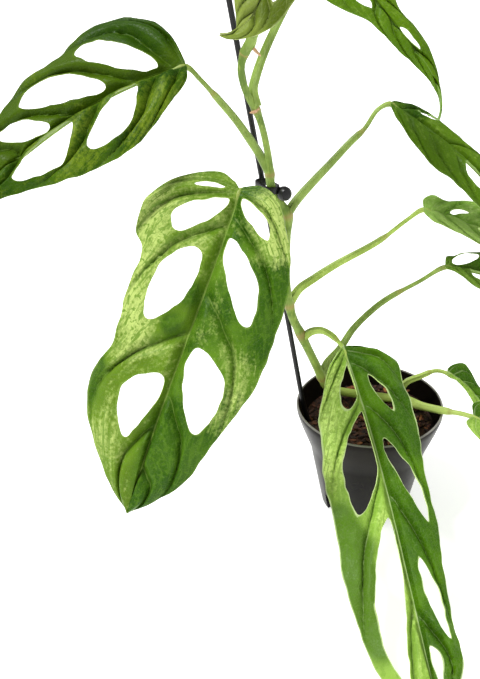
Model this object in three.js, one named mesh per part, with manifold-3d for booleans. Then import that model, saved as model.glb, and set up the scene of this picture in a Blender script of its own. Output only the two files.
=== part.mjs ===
// Swiss cheese vine (Monstera adansonii) climbing a thin stake out of a 12 cm nursery pot.
//
// Millimetres, +Z up. The origin is the middle of the pot's flat foot, the camera side is -Y.
// Every leaf is one node: its petiole and its blade, with the holes and the waved edge cut in it.
// A blade is laid out flat first: x runs along the midrib from its base, y across it.
// The flat outline is then bent onto a spine that droops in space.

import * as THREE from "three";
import { mergeVertices } from "three/addons/utils/BufferGeometryUtils.js";
import Module from "manifold-3d";

const wasm = await Module();
wasm.setup();

// ---------------------------------------------------------------- driving dimensions

const POT_HEIGHT = 100;
const POT_RIM_RADIUS = 60;
const POT_FOOT_RADIUS = 36.4;
const POT_WALL = 1.4;
const POT_FLOOR = 2.4;
const POT_SEGMENTS = 40;
const DRAIN_HOLES = 5;
const DRAIN_RADIUS = 3.2;
const DRAIN_REACH = 22; // from the middle of the floor to each hole
const NOTCH_COUNT = 5; // dents in the lower corner that let water out
const NOTCH_WIDTH = 15;
const NOTCH_HEIGHT = 18;
const NOTCH_REACH = 30.5; // from the axis to the notch's back

const SOIL_TOP = 83;
const SOIL_BUMP = 1.8;
const SOIL_SLOPE = [0.06, 0.03]; // the rise per millimetre of x and of y
const SOIL_RINGS = 6;
const SOIL_SEGMENTS = 30;

const STAKE_RADIUS = 2;
const STAKE_SIDES = 10;
const CLIP_HEIGHT = 5;
const CLIP_WALL = 1.3;
const CLIP_REACH = 4.1; // from the middle of the stake or the stem to the loop's inside
const CLIP_AT = 294; // the height of the loop's middle
const CLIP_STAKE_AT = [-85.2, -0.8];
const CLIP_STEM_AT = [-79, -11.2];
const CLIP_KNOB_AT = [-70.6, -13.5, 291];
const CLIP_KNOB = [[0, -4.6], [3.4, -4.2], [4.9, -2.4], [5.2, 0], [4.9, 2.4], [3.4, 4.2], [0, 4.6]];

const STEM_SIDES = 10;
const STEM_STEP = 8;

const GAP = 0.3; // clear space between two pieces that touch
const SMALLEST_EDGE = 0.02; // finer slivers left by joining are smoothed away
const WELD = 0.001; // points nearer than this are one point
const BLADE_HALF = 0.45; // half of the blade's thickness
const RIDGE_DEPTH = 2.1; // the midrib's keel under the blade's base
const RIDGE_START = 12; // the stretch over which the keel grows out of the petiole
const RIDGE_Q = 0.05; // the keel's half width, as a share of the half blade
const BLADE_ACROSS = 3; // divisions from the keel to the margin
const HOLE_ALONG = 2; // divisions along the leaf on each side of a hole
const MIDRIB_STEPS = 11;
const HOLE_SQUARENESS = 2.6; // 2 is an ellipse
const HOLE_LEAST_Q = 0.065; // no hole comes nearer to the midrib than this share
const PETIOLE_SIDES = 6;
const PETIOLE_STEP = 11;

// ---------------------------------------------------------------- paths of the stalks

// the stake passes inside the lip and bends inwards below it
const STAKE_PATH = [
  [-33, 8, 28], [-41.5, 6.8, 58], [-47.4, 6, 74], [-52, 5.6, 88], [-54.6, 5.6, 100],
  [-64.2, 8, 160], [-70.5, 9, 200], [-78.3, 7, 250], [-94, 3, 350], [-109.7, 0, 450],
  [-117.6, -1, 500],
];

// x, y, z, radius: from the roots in the soil, along the soil, then up beside the stake
const STEM_PATH = [
  [39, 11, 62, 2.4], [41, 13, 77, 3], [37, 15.5, 88, 3.6], [29, 18, 89, 3.6],
  [17, 22, 89, 3.6], [-6, 28, 89.5, 3.6], [-19, 29.5, 91.5, 3.6], [-29, 25, 97, 3.6],
  [-34, 20, 105, 3.6], [-38, 15.5, 116, 3.6], [-45, 10, 135, 3.5], [-57, 5.5, 165, 3.4],
  [-63, 3.5, 180, 3.4], [-66, 2, 193, 3.5], [-68.5, -1, 213, 3.3], [-69, -3.5, 233, 3.3],
  [-68.5, -6.5, 255, 3.3], [-68, -9, 273, 3.4], [-75, -10, 285, 3.1], [-79.5, -11.5, 296, 3.1],
  [-80.5, -13, 306, 3], [-81.5, -15, 320, 2.4], [-85.5, -17, 341, 2.3],
  [-89.5, -18.5, 353, 2.6], [-93.5, -20, 360.5, 2.4], [-97, -21.5, 370, 2.4],
  [-98.5, -23, 381, 2.4], [-96, -24, 391, 2.6], [-91, -25, 397, 2.5], [-90, -25.5, 406, 2.3],
  [-89, -27, 420, 2.2], [-92, -26, 441, 2.2], [-96, -24, 456, 2], [-99, -23, 474, 1.6],
  [-103, -20, 492, 1],
];

// the swollen rings where leaves leave the stem: index into STEM_PATH
const NODE_INDEXES = [3, 9, 11, 13, 15, 17, 20, 23, 27, 31];

// short aerial roots: start, end, radius
const AERIAL_ROOTS = [
  [[-88, -20, 354], [-93.5, -24, 352.5], 1.2],
  [[-92, -25, 396], [-86, -29, 390], 1.2],
  [[-68, 0, 193], [-62, 9, 188], 1.3],
  [[-80, -11, 306], [-84, -3, 303], 1.2],
  [[-46, 9, 135], [-41, 16, 129], 1.4],
];

// ---------------------------------------------------------------- leaf outlines

// One half of a blade is a list of ribs [x at the midrib, x at the margin, half width there],
// evenly numbered 0, 1, 2 ... and joined smoothly.
// A hole is [first rib, last rib, share of the way out where it starts, share where it ends,
// slant in ribs]: with a slant its outer end lies that much nearer the tip.

const TYPICAL_HALF = [
  [0, -0.014, 0.1], [0.005, -0.035, 0.46], [0.02, 0.055, 0.82], [0.07, 0.2, 1], [0.16, 0.335, 0.97],
  [0.27, 0.47, 0.93], [0.39, 0.6, 0.82], [0.53, 0.73, 0.66], [0.68, 0.85, 0.44],
  [0.84, 0.945, 0.2], [1, 1, 0.01],
];
const TYPICAL_HOLES = [[3.3, 4.7, 0.14, 0.72], [5.3, 6.6, 0.14, 0.74], [7.3, 8.4, 0.16, 0.66]];

function typicalHalf(length, width) {
  return TYPICAL_HALF.map(([root, margin, half]) => [root * length, margin * length, half * width]);
}

const LEAVES = [
  {
    name: "leaf_front_left",
    petiole: [[-69, -4, 243], [-73, -19, 268], [-80, -34, 290], [-89, -47, 304]],
    spine: [[-101.8, -56.8, 312], [-124, -100, 262], [-160, -134, 195], [-182.5, -152, 127]],
    face: [[-0.1, -0.75, 0.65], [-0.1, -0.8, 0.6]],
    fold: [8, 8],
    curl: -3,
    wave: 1.6,
    left: [
      [0, -4, 4], [0, -8, 17.5], [1, 2, 41], [3, 22, 57], [8, 45, 59], [30, 59, 48],
      [62, 87, 49], [95, 123, 45.5], [135, 158, 52], [175, 205, 23], [224.8, 228, 2],
    ],
    right: [
      [0, -2.4, 2], [0.4, -5, 13.5], [2, 2, 26.5], [4, 29, 43], [26, 54, 51.5], [52, 80, 53],
      [88, 114, 53], [120, 151, 42.5], [160, 190, 31.5], [195, 212, 16], [224.8, 228, 2],
    ],
    holesLeft: [[1.75, 2.4, 0.25, 0.62, 0.1], [3.43, 4.7, 0.07, 0.62, 0.1],
      [5.12, 6.76, 0.16, 0.7, 0.1], [7.7, 8.68, 0.07, 0.58, 0.14]],
    holesRight: [[2.72, 3.55, 0.09, 0.64, 0.05], [4.15, 5.34, 0.06, 0.69, 0.32],
      [6.22, 7.46, 0.14, 0.79, 0.12]],
  },
  {
    name: "leaf_upper_left",
    petiole: [[-80.5, -13, 306], [-87.5, -12.5, 320], [-95, -13, 332.5], [-103, -14, 345],
      [-113.5, -16, 359], [-125, -18, 373.5]],
    spine: [[-134, -20, 384], [-200, -30, 374], [-249, -53, 331], [-302, -62, 293]],
    face: [[-0.1, -0.6, 0.8], [-0.2, -0.7, 0.7]],
    fold: [8, 8],
    curl: -3,
    wave: 1.4,
    left: [
      [0, 0.2, 3], [0.5, 4.5, 25.5], [2, 14, 41.5], [6, 41.5, 57], [16, 69, 44], [32, 93, 45],
      [52, 115.5, 35], [72, 137.5, 27], [95, 157, 18], [130, 176, 10], [198, 198, 1.5],
    ],
    right: [
      [0, -0.3, 3], [0.7, 4.5, 16], [5, 25.5, 32], [18, 53, 45.5], [36, 85, 43], [58, 108, 37],
      [82, 132, 24], [112, 152.5, 14.5], [150, 174.5, 7.5], [198, 198, 1.5],
    ],
    holesLeft: [[3.2, 4.7, 0.055, 0.88, -0.2, -0.3], [5.05, 6.53, 0.08, 0.86, -0.2],
      [6.96, 7.96, 0.07, 0.83, -0.6]],
    holesRight: [[3.18, 4.7, 0.1, 0.8, -0.03], [5.12, 6.94, 0.13, 0.86, -0.12]],
  },
  {
    name: "leaf_long_low",
    petiole: [[-55, 6, 160], [-49, 5, 166], [-41, 2, 169], [-33, -4, 167.5]],
    spine: [[-25, -12, 163], [-2, -80, 113], [9, -150, 47], [17, -235, 16]],
    face: [[0.15, -0.3, 0.95], [0.05, -0.75, 0.65]],
    fold: [8, 8],
    curl: -3,
    wave: 2,
    left: [
      [0, 2.2, 3], [1, 15.5, 18], [6, 32, 27], [20, 55, 38], [42, 80, 42], [66, 107.5, 45],
      [98, 141, 44.5], [130, 178.5, 46], [170, 211, 42], [215, 244, 35], [258, 266, 17],
      [271, 271, 2],
    ],
    right: [
      [0, 1.4, 5], [0.5, 7.5, 20], [3, 19.5, 37.5], [14, 38, 36.5], [30, 61, 36.5], [52, 78.5, 36],
      [78, 111, 30.5], [112, 144, 30], [150, 179, 26], [190, 215.5, 23.5], [225, 246, 22],
      [271, 271, 2],
    ],
    holesLeft: [[2.38, 4.14, -0.02, 0.46, 0.12, -0.2], [4.45, 6.26, -0.04, 0.69, 0.22, 0],
      [7.12, 9.3, 0.07, 0.74, 0.74]],
    holesRight: [[3.48, 4.62, 0.24, 0.57, 0.3], [5.9, 7.02, 0.17, 0.84, 0.44],
      [8.2, 9.4, 0.34, 0.8, 0.35], [9.95, 10.55, 0.12, 0.5, 0.1]],
  },
  {
    name: "leaf_right_high",
    petiole: [[-68, -9, 273], [-62, -5, 280.5], [-51, 0.5, 291], [-36.5, 6.5, 304],
      [-22, 13, 317], [-11, 17.5, 326], [-1.5, 23, 337.5]],
    spine: [[8, 24.5, 342], [40, 8, 322], [94, -11, 291], [95, -38, 245]],
    face: [[0.1, -0.5, 0.85], [0.3, -0.6, 0.7]],
    fold: [8, -6],
    curl: -4,
    wave: 1.5,
    left: [
      [0, 0.8, 2], [0.5, 4, 6], [3, 13, 12], [10, 30, 20], [24, 50, 25.5], [40, 70, 24],
      [58, 90, 22], [79, 108, 18], [101, 126, 12], [125, 140, 6], [149, 149, 1],
    ],
    right: [
      [0, 0, 1], [0.5, 2, 4], [3, 10, 8], [10, 24, 14], [24, 42, 14], [40, 62, 13],
      [58, 84, 15], [79, 106, 14], [101, 124, 11], [125, 139, 6], [149, 149, 1],
    ],
    holesLeft: [[5.95, 6.9, 0.09, 0.62, -0.1], [7.8, 8.7, 0.14, 0.66]],
    holesRight: [[3.02, 3.9, 0.35, 0.8], [7, 8.1, 0.16, 0.66]],
  },
  {
    name: "leaf_right_middle",
    petiole: [[-66, 2, 193], [-58, 6.5, 204], [-47, 9, 211], [-30, 12, 221], [3, 16, 238],
      [25, 21, 253]],
    spine: [[37, 23, 261], [83, 10, 250], [125, -8, 230], [162, -28, 205]],
    face: [[0.1, -0.4, 0.9], [0.3, -0.5, 0.8]],
    fold: [10, 4],
    curl: -4,
    wave: 1.5,
    left: [
      [0, 0.6, 3], [0.5, 3, 8], [3, 12, 13], [10, 26, 14], [23, 45, 17], [39, 66, 19],
      [57, 86, 18], [78, 106, 14], [100, 124, 9], [124, 138, 4], [147, 147, 1],
    ],
    right: [
      [0, -1.2, 3], [0.5, -2, 9], [2, 4, 16], [8, 15, 14], [18, 28, 22], [34, 52, 27],
      [56, 80, 26], [78, 104, 20], [100, 125, 13], [124, 139, 6], [147, 147, 1],
    ],
    holesLeft: [[4.7, 5.7, 0.16, 0.66], [6.6, 7.6, 0.16, 0.66]],
    holesRight: [[4.02, 4.62, 0.08, 0.33, 0.14], [5.3, 6.4, 0.14, 0.74], [7.1, 8.2, 0.16, 0.7]],
  },
  {
    name: "leaf_right_low",
    petiole: [[-38, 15.5, 116], [-34, 19, 127], [-23, 20, 141], [-13, 20, 159], [1, 19, 176],
      [13, 18, 187], [36, 13, 204]],
    spine: [[54, 9, 219], [98, 3, 217], [135, -15, 193], [175, -27, 178]],
    face: [[0.1, -0.35, 0.93], [0.25, -0.3, 0.9]],
    fold: [4, 10],
    curl: -4,
    wave: 1.4,
    left: [
      [0, 0, 2], [0.5, 2, 4], [3, 9.5, 7], [9, 20, 15], [18, 34, 20], [32, 54, 22],
      [50, 76, 20], [70, 96, 15], [90, 113, 10], [112, 126, 4], [133, 133, 1],
    ],
    right: [
      [0, 0, 4], [0.5, 1, 9], [2, 7, 10], [8, 16, 16], [18, 34, 22], [32, 54, 25],
      [50, 76, 23], [70, 96, 17], [90, 113, 11], [112, 126, 5], [133, 133, 1],
    ],
    holesLeft: [[3.6, 4.7, 0.08, 0.62], [5.3, 6.2, 0.16, 0.7], [7, 8, 0.16, 0.66]],
    holesRight: [[2.05, 3.93, 0.08, 0.79, -0.12], [4.8, 5.8, 0.16, 0.74], [6.7, 7.8, 0.16, 0.7]],
  },
  {
    name: "leaf_rim_back",
    petiole: [[29, 18, 89], [31, 22, 98], [34, 17, 108], [43, 11, 117], [54, 6, 125]],
    spine: [[62, 1, 127], [97, -13, 112], [104, -44, 73], [118, -72, 53]],
    face: [[0.3, -0.4, 0.85], [0.5, -0.5, 0.7]],
    fold: [4, 12],
    curl: -3,
    wave: 1.2,
    left: [
      [0, 0, 2], [0.5, 2, 3], [3, 12, 3.5], [9, 22, 5], [16, 34, 8], [28, 48, 12],
      [42, 64, 15], [58, 82, 14], [78, 99, 9], [100, 114, 4], [122, 122, 1],
    ],
    right: [
      [0, -0.8, 3], [0.6, 2, 9], [2, 8, 15], [7, 15, 13], [14, 26, 8], [26, 42, 10],
      [41, 60, 14], [58, 80, 13], [78, 98, 9], [100, 114, 4], [122, 122, 1],
    ],
    holesLeft: [[5.2, 6.4, 0.2, 0.66]],
    holesRight: [[5.4, 6.7, 0.2, 0.7]],
  },
  {
    name: "leaf_rim_front",
    petiole: [[35, 16, 88.5], [38, 7, 92.5], [42, -7, 99], [55, -23.5, 106], [68, -31, 108]],
    spine: [[77, -35, 108], [106, -46, 98], [131, -66, 72], [137, -92, 46]],
    face: [[0.2, -0.5, 0.85], [0.4, -0.6, 0.7]],
    fold: [8, 8],
    curl: -4,
    wave: 1.2,
    left: typicalHalf(112, 20),
    right: typicalHalf(112, 22),
    holesLeft: [[3.4, 4.8, 0.16, 0.7], [6, 7.3, 0.16, 0.7]],
    holesRight: [[3.8, 5.2, 0.16, 0.72], [6.4, 7.7, 0.16, 0.7]],
  },
  {
    name: "leaf_top_right",
    petiole: [[-89, -19, 355], [-91, -15, 365], [-89, -13, 373], [-82, -9, 390], [-66, -4, 419],
      [-52, 0, 440]],
    spine: [[-31, -2, 453], [-29, -27, 420], [34, -47.5, 384], [24, -58, 356]],
    face: [[-0.2, -0.7, 0.7], [0, -0.85, 0.5]],
    fold: [8, 8],
    curl: -3,
    wave: 1.2,
    left: [
      [0, -1.6, 3], [0.5, -4, 13], [2, 6, 23], [8, 17, 27], [17, 28, 25], [27, 39, 19],
      [37, 51, 11.5], [48, 65, 9.5], [64, 80, 8], [82, 94, 4.8], [100, 109, 1.9], [115, 118, 0.6], [128, 128, 0.5],
    ],
    right: [
      [0, -1.8, 3], [0.5, -4, 12], [2, 6, 20], [8, 17, 23], [16, 30, 21], [27, 42, 15],
      [38, 55, 8.5], [50, 70, 8.8], [66, 84, 8.2], [84, 97, 5.2], [102, 110, 1.8], [116, 119, 0.6], [128, 128, 0.5],
    ],
    holesLeft: [[2.6, 3.7, 0.2, 0.7], [5.3, 6.34, 0.34, 0.65, -0.2]],
    holesRight: [[2.8, 4, 0.2, 0.7], [7.74, 8.72, 0.08, 0.46, 0.07]],
  },
  {
    name: "leaf_young_top",
    petiole: [[-96, -24, 391], [-90.5, -27, 402], [-85, -30, 418], [-79, -37, 440]],
    spine: [[-71, -45, 459], [-83, -57, 448], [-87, -76, 410], [-111, -70, 413]],
    face: [[0, -0.8, 0.6], [-0.1, -0.8, 0.6]],
    fold: [10, 10],
    curl: -2,
    wave: 0.8,
    left: [
      [0, -1.4, 2], [0.5, -3, 8], [2, 6, 15], [7, 16, 19], [14, 27, 19], [22, 38, 17],
      [31, 48, 12.5], [42, 56, 7], [54, 61, 2], [69, 69, 0.8],
    ],
    right: [
      [0, -2, 2], [0.6, -3, 9], [2, 6, 16], [7, 16, 20], [14, 27, 20], [22, 38, 18],
      [31, 47, 15], [42, 54, 10], [52, 60, 6], [69, 69, 0.8],
    ],
    holesLeft: [[3.3, 4.5, 0.2, 0.6]],
    holesRight: [[4.6, 6, 0.2, 0.6]],
  },
  {
    name: "leaf_top_back",
    petiole: [[-92, -26, 441], [-98, -12, 462], [-110, 4, 480], [-125, 20, 491]],
    spine: [[-140, 35, 495], [-160, 60, 497], [-185, 85, 480], [-205, 105, 445]],
    face: [[-0.1, -0.2, 1], [-0.5, 0.4, 0.7]],
    fold: [8, 8],
    curl: -4,
    wave: 1.4,
    left: typicalHalf(116, 26),
    right: typicalHalf(116, 25),
    holesLeft: TYPICAL_HOLES,
    holesRight: [[3.2, 4.5, 0.16, 0.7], [5.2, 6.4, 0.16, 0.7], [7.2, 8.2, 0.2, 0.62]],
  },
];

// ---------------------------------------------------------------- colours

const COLOURS = {
  leaf: { color: 0x6f9a35, roughness: 0.42, metalness: 0 },
  stem: { color: 0x7fa04a, roughness: 0.5, metalness: 0 },
  pot: { color: 0x16171a, roughness: 0.38, metalness: 0 },
  soil: { color: 0x4a3324, roughness: 0.95, metalness: 0 },
  stake: { color: 0x141414, roughness: 0.45, metalness: 0 },
};

function named(name, solid, slot) {
  const mesh = new THREE.Mesh(toGeometry(solid), new THREE.MeshStandardMaterial(COLOURS[slot]));
  mesh.name = name;
  return mesh;
}

// ---------------------------------------------------------------- solids

function vector([x, y, z]) {
  return new THREE.Vector3(x, y, z);
}

// a closed body from a list of points and triangles, with points at one place made one
function toSolid(points, triangles) {
  const seen = new Map();
  const places = [];
  const index = points.map((point) => {
    const steps = point.toArray().map((value) => Math.round(value / WELD));
    const key = steps.join(" ");
    if (!seen.has(key)) {
      seen.set(key, places.length / 3);
      places.push(...steps.map((step) => step * WELD));
    }
    return seen.get(key);
  });
  const kept = triangles
    .map((corners) => corners.map((corner) => index[corner]))
    .filter(([a, b, c]) => a !== b && b !== c && c !== a);
  const mesh = new wasm.Mesh({
    numProp: 3,
    vertProperties: new Float32Array(places),
    triVerts: new Uint32Array(kept.flat()),
  });
  return new wasm.Manifold(mesh);
}

// a closed three.js geometry as a body
function fromGeometry(geometry) {
  const bare = geometry.index ? geometry.toNonIndexed() : geometry.clone();
  bare.deleteAttribute("normal");
  bare.deleteAttribute("uv");
  const merged = mergeVertices(bare, WELD);
  const mesh = new wasm.Mesh({
    numProp: 3,
    vertProperties: merged.attributes.position.array,
    triVerts: new Uint32Array(merged.index.array),
  });
  return new wasm.Manifold(mesh);
}

function toGeometry(solid) {
  const mesh = solid.getMesh();
  const geometry = new THREE.BufferGeometry();
  const places = new Float32Array(mesh.vertProperties);
  geometry.setAttribute("position", new THREE.BufferAttribute(places, mesh.numProp));
  geometry.setIndex(new THREE.BufferAttribute(new Uint32Array(mesh.triVerts), 1));
  const flat = geometry.toNonIndexed();
  flat.computeVertexNormals();
  return flat;
}

// a round bar along sampled points, with a radius at each of them
function bar(points, radii, sides) {
  const rings = [];
  let across = new THREE.Vector3(1, 0, 0);
  points.forEach((point, i) => {
    const ahead = points[Math.min(i + 1, points.length - 1)];
    const behind = points[Math.max(i - 1, 0)];
    const along = ahead.clone().sub(behind).normalize();
    across = across.clone().addScaledVector(along, -across.dot(along)).normalize();
    const third = along.clone().cross(across);
    for (let side = 0; side < sides; side += 1) {
      const angle = (2 * Math.PI * side) / sides;
      const out = across.clone().multiplyScalar(Math.cos(angle) * radii[i]);
      rings.push(point.clone().add(out).addScaledVector(third, Math.sin(angle) * radii[i]));
    }
  });
  const triangles = [];
  for (let i = 0; i < points.length - 1; i += 1) {
    for (let side = 0; side < sides; side += 1) {
      const next = (side + 1) % sides;
      const [a, b] = [i * sides + side, i * sides + next];
      triangles.push([a, b, b + sides], [a, b + sides, a + sides]);
    }
  }
  const last = (points.length - 1) * sides;
  for (let side = 1; side < sides - 1; side += 1) {
    triangles.push([0, side + 1, side], [last, last + side, last + side + 1]);
  }
  return toSolid(rings, triangles);
}

function smoothPath(controls, step) {
  const curve = new THREE.CatmullRomCurve3(controls.map(vector), false, "centripetal");
  const count = Math.max(3, Math.round(curve.getLength() / step));
  return { curve, count };
}

// the value of a list at a fractional index
function mixed(values, at) {
  const i = Math.min(Math.floor(at), values.length - 2);
  return THREE.MathUtils.lerp(values[i], values[i + 1], at - i);
}

// a smooth curve through evenly numbered values, at a fractional number
function through(values, at) {
  const i = Math.min(Math.max(Math.floor(at), 0), values.length - 2);
  const t = at - i;
  const [b, c] = [values[i], values[i + 1]];
  const a = i > 0 ? values[i - 1] : 2 * b - c;
  const d = i + 2 < values.length ? values[i + 2] : 2 * c - b;
  const bend = (2 * a - 5 * b + 4 * c - d) * t * t + (3 * b - a - 3 * c + d) * t * t * t;
  return b + 0.5 * ((c - a) * t + bend);
}

// repeatable noise from 0 to 1
function seededNoise(seed) {
  let state = seed;
  return () => {
    state = (state * 1664525 + 1013904223) % 4294967296;
    return state / 4294967296;
  };
}

// ---------------------------------------------------------------- blades

// where a flat point (x along the midrib, y across it) lies on the drooping blade
function bladeSurface(leaf) {
  const spine = new THREE.CubicBezierCurve3(...leaf.spine.map(vector));
  spine.arcLengthDivisions = 400;
  const length = spine.getLength();
  const [faceBase, faceTip] = leaf.face.map((face) => vector(face).normalize());

  function frame(x) {
    const share = THREE.MathUtils.clamp(x / length, 0, 1);
    const along = spine.getTangentAt(share);
    const origin = spine.getPointAt(share).addScaledVector(along, x - share * length);
    const up = faceBase.clone().lerp(faceTip, share);
    up.addScaledVector(along, -up.dot(along)).normalize();
    const right = up.clone().cross(along);
    return { origin, along, up, right };
  }

  function place(x, y) {
    const { origin, up, right } = frame(x);
    const side = y < 0 ? 0 : 1;
    const fold = THREE.MathUtils.degToRad(leaf.fold[side]);
    const curl = THREE.MathUtils.degToRad(leaf.curl) / 10;
    const reach = Math.abs(y);
    const out = (Math.sin(fold + curl * reach) - Math.sin(fold)) / curl;
    const rise = (Math.cos(fold) - Math.cos(fold + curl * reach)) / curl;
    const ripple = leaf.wave * (reach / 50) ** 2 * Math.sin(x / 9 + side * 2);
    return origin.addScaledVector(right, side ? out : -out).addScaledVector(up, rise + ripple);
  }

  return { length, frame, place };
}

// the flat point at a rib number and a share q of the way from the midrib to the margin
function ribPoint(rows, rib, q) {
  const root = through(rows.map((row) => row[0]), rib);
  const margin = through(rows.map((row) => row[1]), rib);
  const half = through(rows.map((row) => row[2]), rib);
  return [THREE.MathUtils.lerp(root, margin, q), half * q];
}

// the point of a hole's edge towards (a, b) of a square from -1 to 1, as [rib, share]; a
// positive taper makes the hole narrower towards the midrib, a negative one towards the margin
function holePoint([first, last, qFrom, qTo, slant = 0, taper = 0.14], a, b) {
  const power = HOLE_SQUARENESS;
  const reach = (Math.abs(a) ** power + Math.abs(b) ** power) ** (1 / power);
  const [along, out] = [a / reach, b / reach];
  const half = ((last - first) / 2) * (1 - Math.abs(taper) + taper * out);
  return [(first + last) / 2 + slant * out + half * along,
    Math.max(THREE.MathUtils.lerp(qFrom, qTo, (1 + out) / 2), HOLE_LEAST_Q)];
}

// the first and last rib that a hole reaches
function holeReach(hole) {
  const ends = [];
  for (let step = -8; step <= 8; step += 1) {
    ends.push(holePoint(hole, -1, step / 8)[0], holePoint(hole, 1, step / 8)[0]);
  }
  return [Math.min(...ends), Math.max(...ends)];
}

// the stretches of ribs: one around each hole, and plain ones between them
function stretches(ribCount, holes) {
  const cells = [];
  const reaches = holes.map(holeReach);
  let from = 0;
  holes.forEach((hole, i) => {
    const [first, last] = reaches[i];
    const before = i === 0 ? 0.3 : (first - reaches[i - 1][1]) / 2;
    const after = i + 1 < holes.length ? (reaches[i + 1][0] - last) / 2 : 0.3;
    const start = first - Math.min(before, 0.4);
    const end = last + Math.min(after, 0.4);
    cells.push(...plainStretches(from, start), { from: start, to: end, hole });
    from = end;
  });
  return [...cells, ...plainStretches(from, ribCount)];
}

function plainStretches(from, to) {
  if (to - from < 0.01) return [];
  const count = Math.max(1, Math.round((to - from) / 0.8));
  const step = (to - from) / count;
  return Array.from({ length: count }, (_, i) => ({
    from: from + i * step,
    to: from + (i + 1) * step,
  }));
}

// the flat net of one half blade; side is -1 on the left and 1 on the right
function halfNet(net, rows, holes, side, midrib) {
  const levels = Array.from({ length: BLADE_ACROSS + 1 }, (_, j) =>
    THREE.MathUtils.lerp(RIDGE_Q, 1, j / BLADE_ACROSS));
  const add = (rib, q) => {
    const [x, y] = ribPoint(rows, rib, q);
    return net.add(x, side * y);
  };
  const keelLine = [[ribPoint(rows, 0, 0)[0], add(0, RIDGE_Q)]];

  for (const cell of stretches(rows.length - 1, holes)) {
    const along = cell.hole ? Math.max(HOLE_ALONG, Math.round(cell.to - cell.from)) : 1;
    const ribs = Array.from({ length: along + 1 }, (_, i) =>
      THREE.MathUtils.lerp(cell.from, cell.to, i / along));
    if (cell.hole) addHoleRing(net, add, ribs, levels, cell.hole);
    else addPlainCell(net, add, ribs, levels);
    ribs.slice(1).forEach((rib) => keelLine.push([ribPoint(rows, rib, 0)[0], add(rib, RIDGE_Q)]));
  }
  stitch(net, midrib, keelLine);
}

function addPlainCell(net, add, [from, to], levels) {
  for (let j = 0; j < levels.length - 1; j += 1) {
    net.quad(add(from, levels[j]), add(to, levels[j]), add(to, levels[j + 1]),
      add(from, levels[j + 1]));
  }
}

// a ring of quads between the edge of a stretch and the hole in it
function addHoleRing(net, add, ribs, levels, hole) {
  const edge = [
    ...ribs.map((rib) => [rib, levels[0]]),
    ...levels.slice(1).map((q) => [ribs[ribs.length - 1], q]),
    ...ribs.slice(0, -1).reverse().map((rib) => [rib, levels[levels.length - 1]]),
    ...levels.slice(1, -1).reverse().map((q) => [ribs[0], q]),
  ];
  const [ribStart, ribEnd] = [ribs[0], ribs[ribs.length - 1]];
  const inner = edge.map(([rib, q]) => {
    const a = (2 * (rib - ribStart)) / (ribEnd - ribStart) - 1;
    const b = (2 * (q - levels[0])) / (1 - levels[0]) - 1;
    return holePoint(hole, a, b);
  });
  edge.forEach((point, i) => {
    const next = (i + 1) % edge.length;
    net.quad(add(...point), add(...edge[next]), add(...inner[next]), add(...inner[i]));
  });
}

// triangles between the midrib and the line along the keel, each a list of [x, point]
function stitch(net, midrib, line) {
  let [i, j] = [0, 0];
  while (i < midrib.length - 1 || j < line.length - 1) {
    const stepLine = i === midrib.length - 1
      || (j < line.length - 1 && line[j + 1][0] < midrib[i + 1][0]);
    const ahead = stepLine ? line[j + 1][1] : midrib[i + 1][1];
    net.triangle(midrib[i][1], line[j][1], ahead);
    if (stepLine) j += 1;
    else i += 1;
  }
}

// flat points, each kept once, and triangles that all turn the same way
function flatNet() {
  const points = [];
  const triangles = [];
  const seen = new Map();
  function add(x, y) {
    const key = `${Math.round(x * 100)} ${Math.round(y * 100)}`;
    if (!seen.has(key)) {
      seen.set(key, points.length);
      points.push([x, y]);
    }
    return seen.get(key);
  }
  function triangle(a, b, c) {
    if (a === b || b === c || c === a) return;
    const [p, q, r] = [points[a], points[b], points[c]];
    const turn = (q[0] - p[0]) * (r[1] - p[1]) - (q[1] - p[1]) * (r[0] - p[0]);
    triangles.push(turn > 0 ? [a, b, c] : [a, c, b]);
  }
  function quad(a, b, c, d) {
    triangle(a, b, c);
    triangle(a, c, d);
  }
  return { points, triangles, add, triangle, quad };
}

// the corners of a triangle in order, as directed edges
function edgesOf([a, b, c]) {
  return [[a, b], [b, c], [c, a]];
}

// both faces, and the walls along the margin and round every hole
function bladeSolid(leaf, surface) {
  const net = flatNet();
  const midrib = Array.from({ length: MIDRIB_STEPS + 1 }, (_, i) => {
    const x = (surface.length * i) / MIDRIB_STEPS;
    return [x, net.add(x, 0)];
  });
  halfNet(net, leaf.left, leaf.holesLeft, -1, midrib);
  halfNet(net, leaf.right, leaf.holesRight, 1, midrib);

  const middle = net.points.map(([x, y]) => surface.place(x, y));
  const normals = middle.map(() => new THREE.Vector3());
  for (const [a, b, c] of net.triangles) {
    const first = middle[b].clone().sub(middle[a]);
    const turned = first.cross(middle[c].clone().sub(middle[a]));
    [a, b, c].forEach((corner) => normals[corner].add(turned));
  }
  const onMidrib = new Set(midrib.map(([, point]) => point));
  const top = middle.map((point, i) => point.clone()
    .addScaledVector(normals[i].normalize(), BLADE_HALF));
  const bottom = middle.map((point, i) => {
    const x = net.points[i][0];
    const share = Math.max(0, 1 - x / surface.length);
    const start = Math.min(1, x / RIDGE_START); // the petiole carries the first stretch
    const keel = onMidrib.has(i) ? RIDGE_DEPTH * start * share ** 1.3 : 0;
    return point.clone().addScaledVector(normals[i], -BLADE_HALF - keel);
  });

  const count = middle.length;
  const under = net.triangles.map(([a, b, c]) => [a + count, c + count, b + count]);
  const directed = new Set(net.triangles.flatMap(edgesOf).map(([a, b]) => `${a} ${b}`));
  const walls = net.triangles.flatMap(edgesOf)
    .filter(([a, b]) => !directed.has(`${b} ${a}`))
    .flatMap(([a, b]) => [[a, a + count, b + count], [a, b + count, b]]);
  return toSolid([...top, ...bottom], [...net.triangles, ...under, ...walls]);
}

// ---------------------------------------------------------------- stalks

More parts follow.
